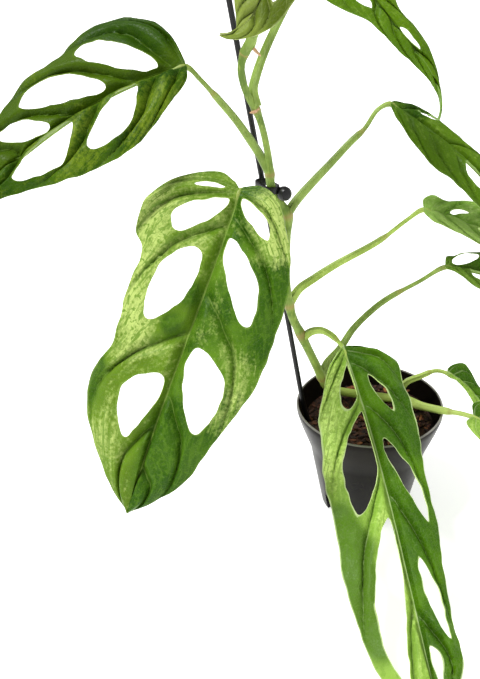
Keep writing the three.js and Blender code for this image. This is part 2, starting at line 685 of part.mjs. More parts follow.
// the sheath wraps the lower two thirds of a petiole and ends in a small step
const PETIOLE_PROFILE = [
  [0, 3.3], [0.12, 3.1], [0.4, 2.6], [0.66, 2.3], [0.7, 1.7], [0.86, 1.6], [0.93, 2.1],
  [0.97, 1.9], [1, 1.2],
];

function profileAt(profile, share) {
  const next = Math.max(1, profile.findIndex(([at]) => at >= share));
  const [[a, first], [b, second]] = [profile[next - 1], profile[next]];
  return THREE.MathUtils.lerp(first, second, (share - a) / (b - a));
}

// the petiole runs on under the blade's base, so the two are one body
function petioleSolid(leaf, surface) {
  const under = [[0, 1.8], [10, 1.5]].map(([x, drop]) => {
    const { origin, up } = surface.frame(x);
    return origin.addScaledVector(up, -drop).toArray();
  });
  const { curve, count } = smoothPath([...leaf.petiole, ...under], PETIOLE_STEP);
  const points = curve.getSpacedPoints(count);
  const radii = points.map((_, i) => profileAt(PETIOLE_PROFILE, i / count));
  return bar(points, radii, PETIOLE_SIDES);
}

function leafSolid(leaf, stemSleeve) {
  const surface = bladeSurface(leaf);
  const blade = bladeSolid(leaf, surface);
  return largestBody(blade.add(petioleSolid(leaf, surface)).subtract(stemSleeve));
}

// the one body that is meant, without scraps and without hollows that joining sealed inside
function largestBody(solid) {
  const mesh = solid.simplify(SMALLEST_EDGE).getMesh();
  const points = Array.from({ length: mesh.numVert }, (_, i) => vector([...mesh.position(i)]));
  const triangles = Array.from({ length: mesh.numTri }, (_, i) => [...mesh.verts(i)]);
  const bodies = toSolid(points, triangles).decompose();
  return bodies.reduce((best, body) => (body.volume() > best.volume() ? body : best));
}

// the stem, or a hole for it when it is grown by a clearance
function stemSolid(clearance) {
  const { curve, count } = smoothPath(STEM_PATH.map((point) => point.slice(0, 3)), STEM_STEP);
  const last = STEM_PATH.length - 1;
  const shares = Array.from({ length: count + 1 }, (_, i) => curve.getUtoTmapping(i / count));
  const radii = shares.map((share) => {
    const swelling = NODE_INDEXES.reduce((sum, index) =>
      sum + 0.7 * Math.exp(-(((share * last - index) / 0.3) ** 2)), 0);
    return mixed(STEM_PATH.map((point) => point[3]), share * last) + swelling + clearance;
  });
  const points = shares.map((share) => curve.getPoint(share));
  points[0].z -= clearance;
  const stem = bar(points, radii, STEM_SIDES);
  return AERIAL_ROOTS.reduce((whole, [start, end, radius]) => {
    const path = [vector(start), vector(start).lerp(vector(end), 0.6), vector(end)];
    const root = [radius, radius * 0.95, radius * 0.55].map((r) => r + clearance);
    return whole.add(bar(path, root, 6));
  }, stem);
}

function stakeSolid(clearance) {
  const { curve } = smoothPath(STAKE_PATH, STAKE_RADIUS);
  const last = STAKE_PATH.length - 1;
  const points = Array.from({ length: 2 * last + 1 }, (_, i) => curve.getPoint(i / (2 * last)));
  points[0].z -= clearance;
  return bar(points, points.map(() => STAKE_RADIUS + clearance), STAKE_SIDES);
}

// ---------------------------------------------------------------- pot and soil

// from the foot to the lip: radius, height
const POT_OUTSIDE = [
  [POT_FOOT_RADIUS, 0], [37.4, 1.3], [48, 60], [50.2, 67], [53.2, 75], [56.8, 85], [59, 92.5],
  [POT_RIM_RADIUS, 97], [POT_RIM_RADIUS, 99], [59.3, POT_HEIGHT], [58.2, POT_HEIGHT],
];

// and down again inside
const POT_INSIDE = [
  [58.2, POT_HEIGHT], [58.2, 97.2], [57.4, 93], [55.2, 85.6], [51.6, 75.6], [48.7, 67.4],
  [46.6, 60.3], [37.6 - POT_WALL, POT_FLOOR],
];

// a turned body round Z from a profile of [radius, height] that starts and ends on the axis
function lathe(profile, segments) {
  const outline = profile.map(([radius, height]) => new THREE.Vector2(radius, height));
  return fromGeometry(new THREE.LatheGeometry(outline, segments).rotateX(Math.PI / 2));
}

// the hollow of the pot, or what fills it with a clearance
function potHollow(clearance, top) {
  const wall = POT_INSIDE.map(([radius, height]) => [radius - clearance, height]).reverse();
  wall[0][1] += clearance;
  wall[wall.length - 1][1] = top;
  return lathe([[0, wall[0][1]], ...wall, [0, top]], POT_SEGMENTS);
}

// blocks that dent the lower corner, grown on every side
function notchBlocks(grown) {
  const depth = POT_RIM_RADIUS - NOTCH_REACH + grown;
  const size = [2 * depth, NOTCH_WIDTH + 2 * grown, 2 * (NOTCH_HEIGHT + grown)];
  const block = fromGeometry(new THREE.BoxGeometry(...size)).translate([POT_RIM_RADIUS, 0, 0]);
  return Array.from({ length: NOTCH_COUNT }, (_, i) =>
    block.rotate([0, 0, (360 * i) / NOTCH_COUNT]));
}

function potSolid() {
  const full = lathe([[0, 0], ...POT_OUTSIDE, [0, POT_HEIGHT]], POT_SEGMENTS);
  const outside = notchBlocks(0).reduce((pot, block) => pot.subtract(block), full);
  const inside = notchBlocks(POT_WALL).reduce((hollow, block) => hollow.subtract(block),
    potHollow(0, POT_HEIGHT + 1));
  const drill = new THREE.CylinderGeometry(DRAIN_RADIUS, DRAIN_RADIUS, 3 * POT_FLOOR, 10);
  const hole = fromGeometry(drill.rotateX(Math.PI / 2));
  let pot = outside.subtract(inside);
  for (let i = 0; i < DRAIN_HOLES; i += 1) {
    const angle = (2 * Math.PI * (i + 0.5)) / DRAIN_HOLES;
    pot = pot.subtract(hole.translate([DRAIN_REACH * Math.cos(angle),
      DRAIN_REACH * Math.sin(angle), 0]));
  }
  return pot;
}

// bark soil with a lumpy, slightly sloping top, a gap inside the pot's wall
function soilSolid(holes) {
  const noise = seededNoise(11);
  const points = [new THREE.Vector3(0, 0, 0), new THREE.Vector3(0, 0, SOIL_TOP)];
  const rows = SOIL_RINGS + 1;
  for (let turn = 0; turn < SOIL_SEGMENTS; turn += 1) {
    const angle = (2 * Math.PI * turn) / SOIL_SEGMENTS;
    const [cos, sin] = [Math.cos(angle), Math.sin(angle)];
    points.push(new THREE.Vector3(POT_RIM_RADIUS * cos, POT_RIM_RADIUS * sin, 0));
    for (let ring = SOIL_RINGS; ring > 0; ring -= 1) {
      const [x, y] = [cos, sin].map((part) => (part * POT_RIM_RADIUS * ring) / SOIL_RINGS);
      const slope = SOIL_SLOPE[0] * x + SOIL_SLOPE[1] * y;
      points.push(new THREE.Vector3(x, y, SOIL_TOP + slope + SOIL_BUMP * (2 * noise() - 1)));
    }
  }
  const triangles = [];
  for (let turn = 0; turn < SOIL_SEGMENTS; turn += 1) {
    const [a, b] = [2 + turn * rows, 2 + ((turn + 1) % SOIL_SEGMENTS) * rows];
    triangles.push([0, b, a], [1, a + rows - 1, b + rows - 1]);
    for (let row = 0; row < rows - 1; row += 1) {
      triangles.push([a + row, b + row, b + row + 1], [a + row, b + row + 1, a + row + 1]);
    }
  }
  const heap = toSolid(points, triangles).intersect(potHollow(GAP, POT_HEIGHT));
  return [...notchBlocks(POT_WALL + GAP), ...holes]
    .reduce((soil, hole) => soil.subtract(hole), heap);
}

// ---------------------------------------------------------------- the clip

// a flat loop of plastic round the stake and the stem, closed by a round knob
function clipSolid(stemSleeve, stakeSleeve) {
  const band = clipLoop(CLIP_REACH + CLIP_WALL, CLIP_HEIGHT)
    .subtract(clipLoop(CLIP_REACH, 2 * CLIP_HEIGHT));
  const knob = lathe(CLIP_KNOB, 16).rotate([78, 0, 24]).translate(CLIP_KNOB_AT);
  return largestBody(band.add(knob).subtract(stemSleeve).subtract(stakeSleeve));
}

// a body whose outline is two half circles, round the stake and round the stem
function clipLoop(radius, height) {
  const [start, end] = [CLIP_STAKE_AT, CLIP_STEM_AT];
  const turn = Math.atan2(end[1] - start[1], end[0] - start[0]);
  const outline = new THREE.Shape()
    .absarc(...start, radius, turn + Math.PI / 2, turn + (3 * Math.PI) / 2)
    .absarc(...end, radius, turn - Math.PI / 2, turn + Math.PI / 2);
  const solid = new THREE.ExtrudeGeometry(outline, {
    depth: height,
    bevelEnabled: false,
    curveSegments: 10,
  });
  return fromGeometry(solid.translate(0, 0, CLIP_AT - height / 2));
}

// ---------------------------------------------------------------- the whole plant

function buildPlant() {
  const plant = new THREE.Group();
  plant.name = "monstera_adansonii";
  const stemSleeve = stemSolid(GAP);
  const stakeSleeve = stakeSolid(GAP);

  plant.add(named("pot", potSolid(), "pot"));
  plant.add(named("soil", largestBody(soilSolid([stemSleeve, stakeSleeve])), "soil"));
  plant.add(named("stake", stakeSolid(0), "stake"));
  plant.add(named("plant_clip", clipSolid(stemSleeve, stakeSleeve), "stake"));
  plant.add(named("vine_stem", stemSolid(0), "stem"));
  for (const leaf of LEAVES) plant.add(named(leaf.name, leafSolid(leaf, stemSleeve), "leaf"));
  return plant;
}

export default buildPlant();
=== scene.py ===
# %% [markdown]
# # A Swiss cheese vine in its nursery pot
#
# This notebook dresses a young Monstera adansonii: a vine that creeps over the soil of a black
# pot and climbs a thin stake, with eleven leaves on long petioles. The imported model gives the
# pieces at their real size and place. Every faceted piece is replaced here by a finer one that
# keeps its form, and every surface gets a finish made of shader nodes.

import math
import random

import bmesh
import bpy
from mathutils import Matrix, Vector, noise


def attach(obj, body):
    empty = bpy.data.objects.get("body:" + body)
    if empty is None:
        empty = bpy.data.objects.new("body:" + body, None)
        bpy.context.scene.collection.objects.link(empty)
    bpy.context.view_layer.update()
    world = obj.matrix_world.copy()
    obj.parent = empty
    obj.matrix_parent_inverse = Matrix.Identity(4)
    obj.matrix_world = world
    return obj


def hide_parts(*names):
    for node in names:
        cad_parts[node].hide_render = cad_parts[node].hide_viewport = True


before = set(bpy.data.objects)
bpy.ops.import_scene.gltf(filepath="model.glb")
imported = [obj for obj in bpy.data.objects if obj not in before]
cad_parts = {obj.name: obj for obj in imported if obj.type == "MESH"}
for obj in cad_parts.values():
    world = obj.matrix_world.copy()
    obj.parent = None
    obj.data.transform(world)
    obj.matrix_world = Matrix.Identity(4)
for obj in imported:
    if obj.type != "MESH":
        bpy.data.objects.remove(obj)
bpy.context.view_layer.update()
MM = 0.001
noise.seed_set(3)  # without a seed, noise_vector gives other waves in every run
print("pieces in the packed model:", sorted(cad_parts))

# %% [markdown]
# ## Curves that everything grows along
#
# A plant has hardly a straight line in it. Two small functions draw all of its lines: one goes
# smoothly through evenly numbered values, which suits the outline of a leaf, and one goes
# through points in space without overshooting between them, which suits a stalk.

# %% Smooth curves
def through(values, at):
    """A smooth curve through evenly numbered values, at a fractional number."""
    i = min(max(math.floor(at), 0), len(values) - 2)
    t = at - i
    b, c = values[i], values[i + 1]
    a = values[i - 1] if i > 0 else 2 * b - c
    d = values[i + 2] if i + 2 < len(values) else 2 * c - b
    bend = (2 * a - 5 * b + 4 * c - d) * t ** 2 + (3 * b - a - 3 * c + d) * t ** 3
    return b + 0.5 * ((c - a) * t + bend)


def lerp(a, b, t):
    return a + (b - a) * t


def clamp(value, low=0.0, high=1.0):
    return min(max(value, low), high)


def path_point(controls, at):
    """A point of the curve through the control points, at a fractional index."""
    i = min(int(at), len(controls) - 2)
    t = at - i
    p1, p2 = controls[i], controls[i + 1]
    p0 = controls[i - 1] if i > 0 else 2 * p1 - p2
    p3 = controls[i + 2] if i + 2 < len(controls) else 2 * p2 - p1
    d0, d1, d2 = ((b - a).length ** 0.5 for a, b in ((p0, p1), (p1, p2), (p2, p3)))
    start = ((p1 - p0) / d0 - (p2 - p0) / (d0 + d1) + (p2 - p1) / d1) * d1
    end = ((p2 - p1) / d1 - (p3 - p1) / (d1 + d2) + (p3 - p2) / d2) * d1
    cubic = 2 * p1 - 2 * p2 + start + end
    square = -3 * p1 + 3 * p2 - 2 * start - end
    return p1 + start * t + square * t ** 2 + cubic * t ** 3


def even_path(points, step):
    """Points about one step apart along a curve, each with its fractional index."""
    controls = [Vector(point) for point in points]
    fine = [i / 24 for i in range(24 * (len(controls) - 1) + 1)]
    places = [path_point(controls, at) for at in fine]
    walked = [0.0]
    for before, after in zip(places, places[1:]):
        walked.append(walked[-1] + (after - before).length)
    count = max(4, round(walked[-1] / step))
    chosen, j = [], 0
    for n in range(count + 1):
        goal = walked[-1] * n / count
        while j < len(walked) - 2 and walked[j + 1] < goal:
            j += 1
        share = clamp((goal - walked[j]) / max(walked[j + 1] - walked[j], 1e-9))
        at = lerp(fine[j], fine[j + 1], share)
        chosen.append((path_point(controls, at), at))
    return chosen


def profile_at(profile, share):
    """The value of a list of (share, value) pairs at a share."""
    for (a, first), (b, second) in zip(profile, profile[1:]):
        if share <= b:
            return lerp(first, second, clamp((share - a) / (b - a)))
    return profile[-1][1]

# %% [markdown]
# ## Pieces
#
# Every piece is built as a bmesh, whose points carry named values that the finishes read later.
# And every piece ends the same way: its mesh is put in an object that stays at the origin, its
# soft faces are shaded smooth, and edges that are really sharp are marked, so that they stay
# crisp.

# %% From a bmesh to a piece of the plant
SHARP = math.radians(42)
NUMBERS = ("turn", "along", "rim", "rib", "q", "tone")
VECTORS = ("flat", "vein")
ONLY_FOR_BUILDING = ("rib", "q", "turn")


def new_mesh():
    """An empty bmesh with the values that the finishes read: where a point is on its piece."""
    bm = bmesh.new()
    for name in NUMBERS:
        bm.verts.layers.float.new(name)
    for name in VECTORS:
        bm.verts.layers.float_vector.new(name)
    return bm


def layers_of(bm, *names):
    """The layers of values with these names."""
    numbers, vectors = bm.verts.layers.float, bm.verts.layers.float_vector
    return [vectors[name] if name in VECTORS else numbers[name] for name in names]


def add_object(name, data):
    """An object at the origin, linked to the scene."""
    made = bpy.data.objects.new(name, data)
    bpy.context.scene.collection.objects.link(made)
    return made


def to_object(bm, name):
    """Turns a bmesh into an object, and frees the bmesh."""
    mesh = bpy.data.meshes.new(name)
    bm.to_mesh(mesh)
    bm.free()
    return add_object(name, mesh)


def finish_piece(bm, name, materials, slot, *replaced, sharp=SHARP):
    """Makes the bmesh an object that rides on the plant's one body."""
    for face in bm.faces:
        face.smooth = True
    for edge in bm.edges:
        edge.smooth = edge.calc_face_angle(0) < sharp
    for scratch in ONLY_FOR_BUILDING:
        layer = bm.verts.layers.float.get(scratch)
        if layer:
            bm.verts.layers.float.remove(layer)
    piece = to_object(bm, name)
    for material in materials:
        piece.data.materials.append(material)
    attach(piece, "root")
    if replaced:
        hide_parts(*replaced)
    print(name, "faces:", len(piece.data.polygons))


print("values on every point:", NUMBERS + VECTORS)

# %% [markdown]
# ## Stalks
#
# Petioles, the vine, its aerial roots and the stake are all rods that bend. A curve object with
# a round bevel would do for a plain rod, but a petiole has thin wings along its lower part and
# the vine swells at its nodes. So each stalk starts as one circle of points, and the circle is
# extruded ring by ring, and every ring may have its own outline.

# %% A stalk extruded along a path
def place_ring(verts, turn, centre, across, third, outline):
    for vert in verts:
        angle = vert[turn]
        reach = outline(angle) * MM
        spoke = across * (math.cos(angle) * reach) + third * (math.sin(angle) * reach)
        vert.co = centre * MM + spoke


def add_stalk(bm, points, outline, sides, facing, mark=None):
    """Adds a closed stalk; outline(i, angle) is its radius, and angle 0 looks to facing."""
    turn, along_layer, mark_layer = layers_of(bm, "turn", "along", "rim")
    ring = bmesh.ops.create_circle(bm, cap_ends=True, segments=sides, radius=1)["verts"]
    for vert in ring:
        vert[turn] = math.atan2(vert.co.y, vert.co.x)
    faces = {face for vert in ring for face in vert.link_faces}
    edges = list({edge for vert in ring for edge in vert.link_edges})
    across = facing.copy()
    walked = 0.0
    for i, point in enumerate(points):
        ahead = points[min(i + 1, len(points) - 1)]
        behind = points[max(i - 1, 0)]
        along = (ahead - behind).normalized()
        across = (across - along * across.dot(along)).normalized()
        if i:
            walked += (point - behind).length
            grown = bmesh.ops.extrude_edge_only(bm, edges=edges)["geom"]
            ring = [part for part in grown if isinstance(part, bmesh.types.BMVert)]
            faces |= {part for part in grown if isinstance(part, bmesh.types.BMFace)}
            own = set(ring)
            edges = [part for part in grown if isinstance(part, bmesh.types.BMEdge)
                     and own.issuperset(part.verts)]
        for vert in ring:
            vert[along_layer] = walked
            vert[mark_layer] = mark(i) if mark else 0.0
        place_ring(ring, turn, point, across, along.cross(across),
                   lambda angle: outline(i, angle))
    faces |= set(bmesh.ops.contextual_create(bm, geom=edges)["faces"])
    bmesh.ops.recalc_face_normals(bm, faces=list(faces))
    return faces

# %% [markdown]
# ## The lay of a leaf
#
# A blade is first drawn flat: x runs along the midrib from its base, y across it. One half of
# it is a list of ribs, each with its place on the midrib, its place at the margin and its half
# width there. Then the flat drawing is bent onto a drooping line. These numbers are those of
# the solid model, in millimetres, so that the fine blade lies where the plain one does.
#
# A hole is a soft square: its first and last rib, its near and far share of the half width, and
# then, where they are given, how far it slants and how much it tapers. A patch is a soft spot
# of tone: a place, a reach, and an amount that is pale above zero and dark below it.

# %% A typical outline
TYPICAL_HALF = [
    (0, -0.014, 0.1), (0.005, -0.035, 0.46), (0.02, 0.055, 0.82), (0.07, 0.2, 1),
    (0.16, 0.335, 0.97), (0.27, 0.47, 0.93), (0.39, 0.6, 0.82), (0.53, 0.73, 0.66),
    (0.68, 0.85, 0.44), (0.84, 0.945, 0.2), (1, 1, 0.01),
]


def typical_half(length, width):
    return [(root * length, margin * length, half * width)
            for root, margin, half in TYPICAL_HALF]


LEAVES = {}

# %% Outlines: the three large leaves
LEAVES["leaf_front_left"] = {
    "finish": "marbled",
    "patches": [
        (8, -35, 14, 0.2), (15, -52, 14, 0.8), (40, -48, 16, 0.8), (68, -48, 16, 0.8),
        (92, -40, 16, 0.8), (112, -30, 14, 0.9), (38, -14, 9, 0.5), (75, -7, 9, -1.2),
        (98, -14, 10, -1.2), (135, -62, 17, -2.2), (157, -60, 15, -2.0),
        (130, -42, 8, 0.7), (150, -44, 7, 0.5), (182, -28, 18, 0.5), (110, -52, 9, 0.5),
        (8, 30, 18, 1.7), (30, 40, 14, 1.3), (60, 45, 20, -0.9), (85, 50, 15, -0.9),
        (75, 10, 12, 0.1), (105, 38, 14, 0.6), (60, 25, 9, 0.7), (128, 42, 14, 0.6),
        (148, 40, 12, 0.7), (165, 15, 22, -1.3), (195, 15, 20, -1.3),
    ],
    "petiole": [(-69, -4, 243), (-73, -19, 268), (-80, -34, 290), (-89, -47, 304)],
    "spine": [
        (-101.8, -56.8, 312), (-124, -100, 262), (-160, -134, 195), (-182.5, -152, 127),
    ],
    "face": [(-0.1, -0.75, 0.65), (-0.1, -0.8, 0.6)],
    "fold": (8, 8), "curl": -3, "wave": 1.6,
    "left": [
        (0, -4, 4), (0, -8, 17.5), (1, 2, 41), (3, 22, 57), (8, 45, 59), (30, 59, 48),
        (62, 87, 49), (95, 123, 45.5), (135, 158, 52), (175, 205, 23), (224.8, 228, 2),
    ],
    "right": [
        (0, -2.4, 2), (0.4, -5, 13.5), (2, 2, 26.5), (4, 29, 43), (26, 54, 51.5),
        (52, 80, 53), (88, 114, 53), (120, 151, 42.5), (160, 190, 31.5), (195, 212, 16),
        (224.8, 228, 2),
    ],
    "holes_left": [
        (1.75, 2.4, 0.25, 0.62, 0.1), (3.43, 4.7, 0.07, 0.62, 0.1),
        (5.12, 6.76, 0.16, 0.7, 0.1), (7.7, 8.68, 0.07, 0.58, 0.14),
    ],
    "holes_right": [
        (2.72, 3.55, 0.09, 0.64, 0.05), (4.15, 5.34, 0.06, 0.69, 0.32),
        (6.22, 7.46, 0.14, 0.79, 0.12),
    ],
}
LEAVES["leaf_upper_left"] = {
    "finish": "olive",
    "patches": [
        (15, -30, 20, -1.2), (40, -42, 18, -1.2), (55, -25, 10, 0.4), (75, -22, 12, 0.6),
        (90, -40, 14, 0.3), (25, 20, 14, 0.6), (45, 36, 14, 0.7), (75, 8, 14, 0.5),
        (90, 30, 14, 0.7), (120, 8, 12, 0.2),
    ],
    "petiole": [
        (-80.5, -13, 306), (-87.5, -12.5, 320), (-95, -13, 332.5), (-103, -14, 345),
        (-113.5, -16, 359), (-125, -18, 373.5),
    ],
    "spine": [(-134, -20, 384), (-200, -30, 374), (-249, -53, 331), (-302, -62, 293)],
    "face": [(-0.1, -0.6, 0.8), (-0.2, -0.7, 0.7)],
    "fold": (8, 8), "curl": -3, "wave": 1.4,
    "left": [
        (0, 0.2, 3), (0.5, 4.5, 25.5), (2, 14, 41.5), (6, 41.5, 57), (16, 69, 44),
        (32, 93, 45), (52, 115.5, 35), (72, 137.5, 27), (95, 157, 18), (130, 176, 10),
        (198, 198, 1.5),
    ],
    "right": [
        (0, -0.3, 3), (0.7, 4.5, 16), (5, 25.5, 32), (18, 53, 45.5), (36, 85, 43),
        (58, 108, 37), (82, 132, 24), (112, 152.5, 14.5), (150, 174.5, 7.5), (198, 198, 1.5),
    ],
    "holes_left": [
        (3.2, 4.7, 0.055, 0.88, -0.2, -0.3), (5.05, 6.53, 0.08, 0.86, -0.2),
        (6.96, 7.96, 0.07, 0.83, -0.6),
    ],
    "holes_right": [(3.18, 4.7, 0.1, 0.8, -0.03), (5.12, 6.94, 0.13, 0.86, -0.12)],
}
LEAVES["leaf_long_low"] = {
    "patches": [
        (30, -22, 14, 0.7), (60, -35, 16, 0.8), (90, -38, 16, 0.8), (115, -34, 12, 0.0),
        (140, -12, 8, 0.6), (128, -40, 12, -0.8), (152, -38, 16, -1.6), (178, -36, 18, -1.8),
        (205, -34, 16, -1.6), (228, -30, 12, -0.8), (170, -18, 8, 0.8), (195, -14, 8, 0.8),
        (30, 25, 15, -0.6), (70, 10, 15, -0.6), (60, 30, 15, -0.8), (90, 28, 12, -0.8),
        (120, 5, 10, -0.6), (150, 10, 14, -0.8), (175, 10, 14, -0.5), (210, 5, 12, 0.0),
        (230, -5, 12, -0.3),
    ],
    "finish": "bright",
    "petiole": [(-55, 6, 160), (-49, 5, 166), (-41, 2, 169), (-33, -4, 167.5)],
    "spine": [(-25, -12, 163), (-2, -80, 113), (9, -150, 47), (17, -235, 16)],
    "face": [(0.15, -0.3, 0.95), (0.05, -0.75, 0.65)],
    "fold": (8, 8), "curl": -3, "wave": 2,
    "left": [
        (0, 2.2, 3), (1, 15.5, 18), (6, 32, 27), (20, 55, 38), (42, 80, 42), (66, 107.5, 45),
        (98, 141, 44.5), (130, 178.5, 46), (170, 211, 42), (215, 244, 35), (258, 266, 17),
        (271, 271, 2),
    ],
    "right": [
        (0, 1.4, 5), (0.5, 7.5, 20), (3, 19.5, 37.5), (14, 38, 36.5), (30, 61, 36.5),
        (52, 78.5, 36), (78, 111, 30.5), (112, 144, 30), (150, 179, 26), (190, 215.5, 23.5),
        (225, 246, 22), (271, 271, 2),
    ],
    "holes_left": [
        (2.38, 4.14, -0.02, 0.46, 0.12, -0.2), (4.45, 6.26, -0.04, 0.69, 0.22, 0),
        (7.12, 9.3, 0.07, 0.74, 0.74),
    ],
    "holes_right": [
        (3.48, 4.62, 0.24, 0.57, 0.3), (5.9, 7.02, 0.17, 0.84, 0.44),
        (8.2, 9.4, 0.34, 0.8, 0.35), (9.95, 10.55, 0.12, 0.5, 0.1),
    ],
}

# %% Outlines: the leaves on the right
LEAVES["leaf_right_high"] = {
    "finish": "deep",
    "petiole": [
        (-68, -9, 273), (-62, -5, 280.5), (-51, 0.5, 291), (-36.5, 6.5, 304), (-22, 13, 317),
        (-11, 17.5, 326), (-1.5, 23, 337.5),
    ],
    "spine": [(8, 24.5, 342), (40, 8, 322), (94, -11, 291), (95, -38, 245)],
    "face": [(0.1, -0.5, 0.85), (0.3, -0.6, 0.7)],
    "fold": (8, -6), "curl": -4, "wave": 1.5,
    "left": [
        (0, 0.8, 2), (0.5, 4, 6), (3, 13, 12), (10, 30, 20), (24, 50, 25.5), (40, 70, 24),
        (58, 90, 22), (79, 108, 18), (101, 126, 12), (125, 140, 6), (149, 149, 1),
    ],
    "right": [
        (0, 0, 1), (0.5, 2, 4), (3, 10, 8), (10, 24, 14), (24, 42, 14), (40, 62, 13),
        (58, 84, 15), (79, 106, 14), (101, 124, 11), (125, 139, 6), (149, 149, 1),
    ],
    "holes_left": [(5.95, 6.9, 0.09, 0.62, -0.1), (7.8, 8.7, 0.14, 0.66)],
    "holes_right": [(3.02, 3.9, 0.35, 0.8), (7, 8.1, 0.16, 0.66)],
}
LEAVES["leaf_right_middle"] = {
    "finish": "fresh",
    "petiole": [
        (-66, 2, 193), (-58, 6.5, 204), (-47, 9, 211), (-30, 12, 221), (3, 16, 238),
        (25, 21, 253),
    ],
    "spine": [(37, 23, 261), (83, 10, 250), (125, -8, 230), (162, -28, 205)],
    "face": [(0.1, -0.4, 0.9), (0.3, -0.5, 0.8)],
    "fold": (10, 4), "curl": -4, "wave": 1.5,
    "left": [
        (0, 0.6, 3), (0.5, 3, 8), (3, 12, 13), (10, 26, 14), (23, 45, 17), (39, 66, 19),
        (57, 86, 18), (78, 106, 14), (100, 124, 9), (124, 138, 4), (147, 147, 1),
    ],
    "right": [
        (0, -1.2, 3), (0.5, -2, 9), (2, 4, 16), (8, 15, 14), (18, 28, 22), (34, 52, 27),
        (56, 80, 26), (78, 104, 20), (100, 125, 13), (124, 139, 6), (147, 147, 1),
    ],
    "holes_left": [(4.7, 5.7, 0.16, 0.66), (6.6, 7.6, 0.16, 0.66)],
    "holes_right": [
        (4.02, 4.62, 0.08, 0.33, 0.14), (5.3, 6.4, 0.14, 0.74), (7.1, 8.2, 0.16, 0.7),
    ],
}
LEAVES["leaf_right_low"] = {
    "finish": "sage",
    "petiole": [
        (-38, 15.5, 116), (-34, 19, 127), (-23, 20, 141), (-13, 20, 159), (1, 19, 176),
        (13, 18, 187), (36, 13, 204),
    ],
    "spine": [(54, 9, 219), (98, 3, 217), (135, -15, 193), (175, -27, 178)],
    "face": [(0.1, -0.35, 0.93), (0.25, -0.3, 0.9)],
    "fold": (4, 10), "curl": -4, "wave": 1.4,
    "left": [
        (0, 0, 2), (0.5, 2, 4), (3, 9.5, 7), (9, 20, 15), (18, 34, 20), (32, 54, 22),
        (50, 76, 20), (70, 96, 15), (90, 113, 10), (112, 126, 4), (133, 133, 1),
    ],
    "right": [
        (0, 0, 4), (0.5, 1, 9), (2, 7, 10), (8, 16, 16), (18, 34, 22), (32, 54, 25),
        (50, 76, 23), (70, 96, 17), (90, 113, 11), (112, 126, 5), (133, 133, 1),
    ],
    "holes_left": [(3.6, 4.7, 0.08, 0.62), (5.3, 6.2, 0.16, 0.7), (7, 8, 0.16, 0.66)],
    "holes_right": [
        (2.05, 3.93, 0.08, 0.79, -0.12), (4.8, 5.8, 0.16, 0.74), (6.7, 7.8, 0.16, 0.7),
    ],
}

# %% Outlines: the leaves over the rim
LEAVES["leaf_rim_back"] = {
    "finish": "bright",
    "petiole": [(29, 18, 89), (31, 22, 98), (34, 17, 108), (43, 11, 117), (54, 6, 125)],
    "spine": [(62, 1, 127), (97, -13, 112), (104, -44, 73), (118, -72, 53)],
    "face": [(0.3, -0.4, 0.85), (0.5, -0.5, 0.7)],
    "fold": (4, 12), "curl": -3, "wave": 1.2,
    "left": [
        (0, 0, 2), (0.5, 2, 3), (3, 12, 3.5), (9, 22, 5), (16, 34, 8), (28, 48, 12),
        (42, 64, 15), (58, 82, 14), (78, 99, 9), (100, 114, 4), (122, 122, 1),
    ],
    "right": [
        (0, -0.8, 3), (0.6, 2, 9), (2, 8, 15), (7, 15, 13), (14, 26, 8), (26, 42, 10),
        (41, 60, 14), (58, 80, 13), (78, 98, 9), (100, 114, 4), (122, 122, 1),
    ],
    "holes_left": [(5.2, 6.4, 0.2, 0.66)],
    "holes_right": [(5.4, 6.7, 0.2, 0.7)],
}
LEAVES["leaf_rim_front"] = {
    "finish": "bright", "stout": 1.22,
    "petiole": [
        (35, 16, 88.5), (38, 7, 92.5), (42, -7, 99), (55, -23.5, 106), (68, -31, 108),
    ],
    "spine": [(77, -35, 108), (106, -46, 98), (131, -66, 72), (137, -92, 46)],
    "face": [(0.2, -0.5, 0.85), (0.4, -0.6, 0.7)],
    "fold": (8, 8), "curl": -4, "wave": 1.2,
    "left": typical_half(112, 20),
    "right": typical_half(112, 22),
    "holes_left": [(3.4, 4.8, 0.16, 0.7), (6, 7.3, 0.16, 0.7)],
    "holes_right": [(3.8, 5.2, 0.16, 0.72), (6.4, 7.7, 0.16, 0.7)],
}

# %% Outlines: the leaves at the top
LEAVES["leaf_top_right"] = {
    "finish": "deep",
    "petiole": [
        (-89, -19, 355), (-91, -15, 365), (-89, -13, 373), (-82, -9, 390), (-66, -4, 419),
        (-52, 0, 440),
    ],
    "spine": [(-31, -2, 453), (-29, -27, 420), (34, -47.5, 384), (24, -58, 356)],
    "face": [(-0.2, -0.7, 0.7), (0, -0.85, 0.5)],
    "fold": (8, 8), "curl": -3, "wave": 1.2,
    "left": [
        (0, -1.6, 3), (0.5, -4, 13), (2, 6, 23), (8, 17, 27), (17, 28, 25), (27, 39, 19),
        (37, 51, 11.5), (48, 65, 9.5), (64, 80, 8), (82, 94, 4.8), (100, 109, 1.9),
        (115, 118, 0.6), (128, 128, 0.5),
    ],
    "right": [
        (0, -1.8, 3), (0.5, -4, 12), (2, 6, 20), (8, 17, 23), (16, 30, 21), (27, 42, 15),
        (38, 55, 8.5), (50, 70, 8.8), (66, 84, 8.2), (84, 97, 5.2), (102, 110, 1.8),
        (116, 119, 0.6), (128, 128, 0.5),
    ],
    "holes_left": [(2.6, 3.7, 0.2, 0.7), (5.3, 6.34, 0.34, 0.65, -0.2)],
    "holes_right": [(2.8, 4, 0.2, 0.7), (7.74, 8.72, 0.08, 0.46, 0.07)],
}
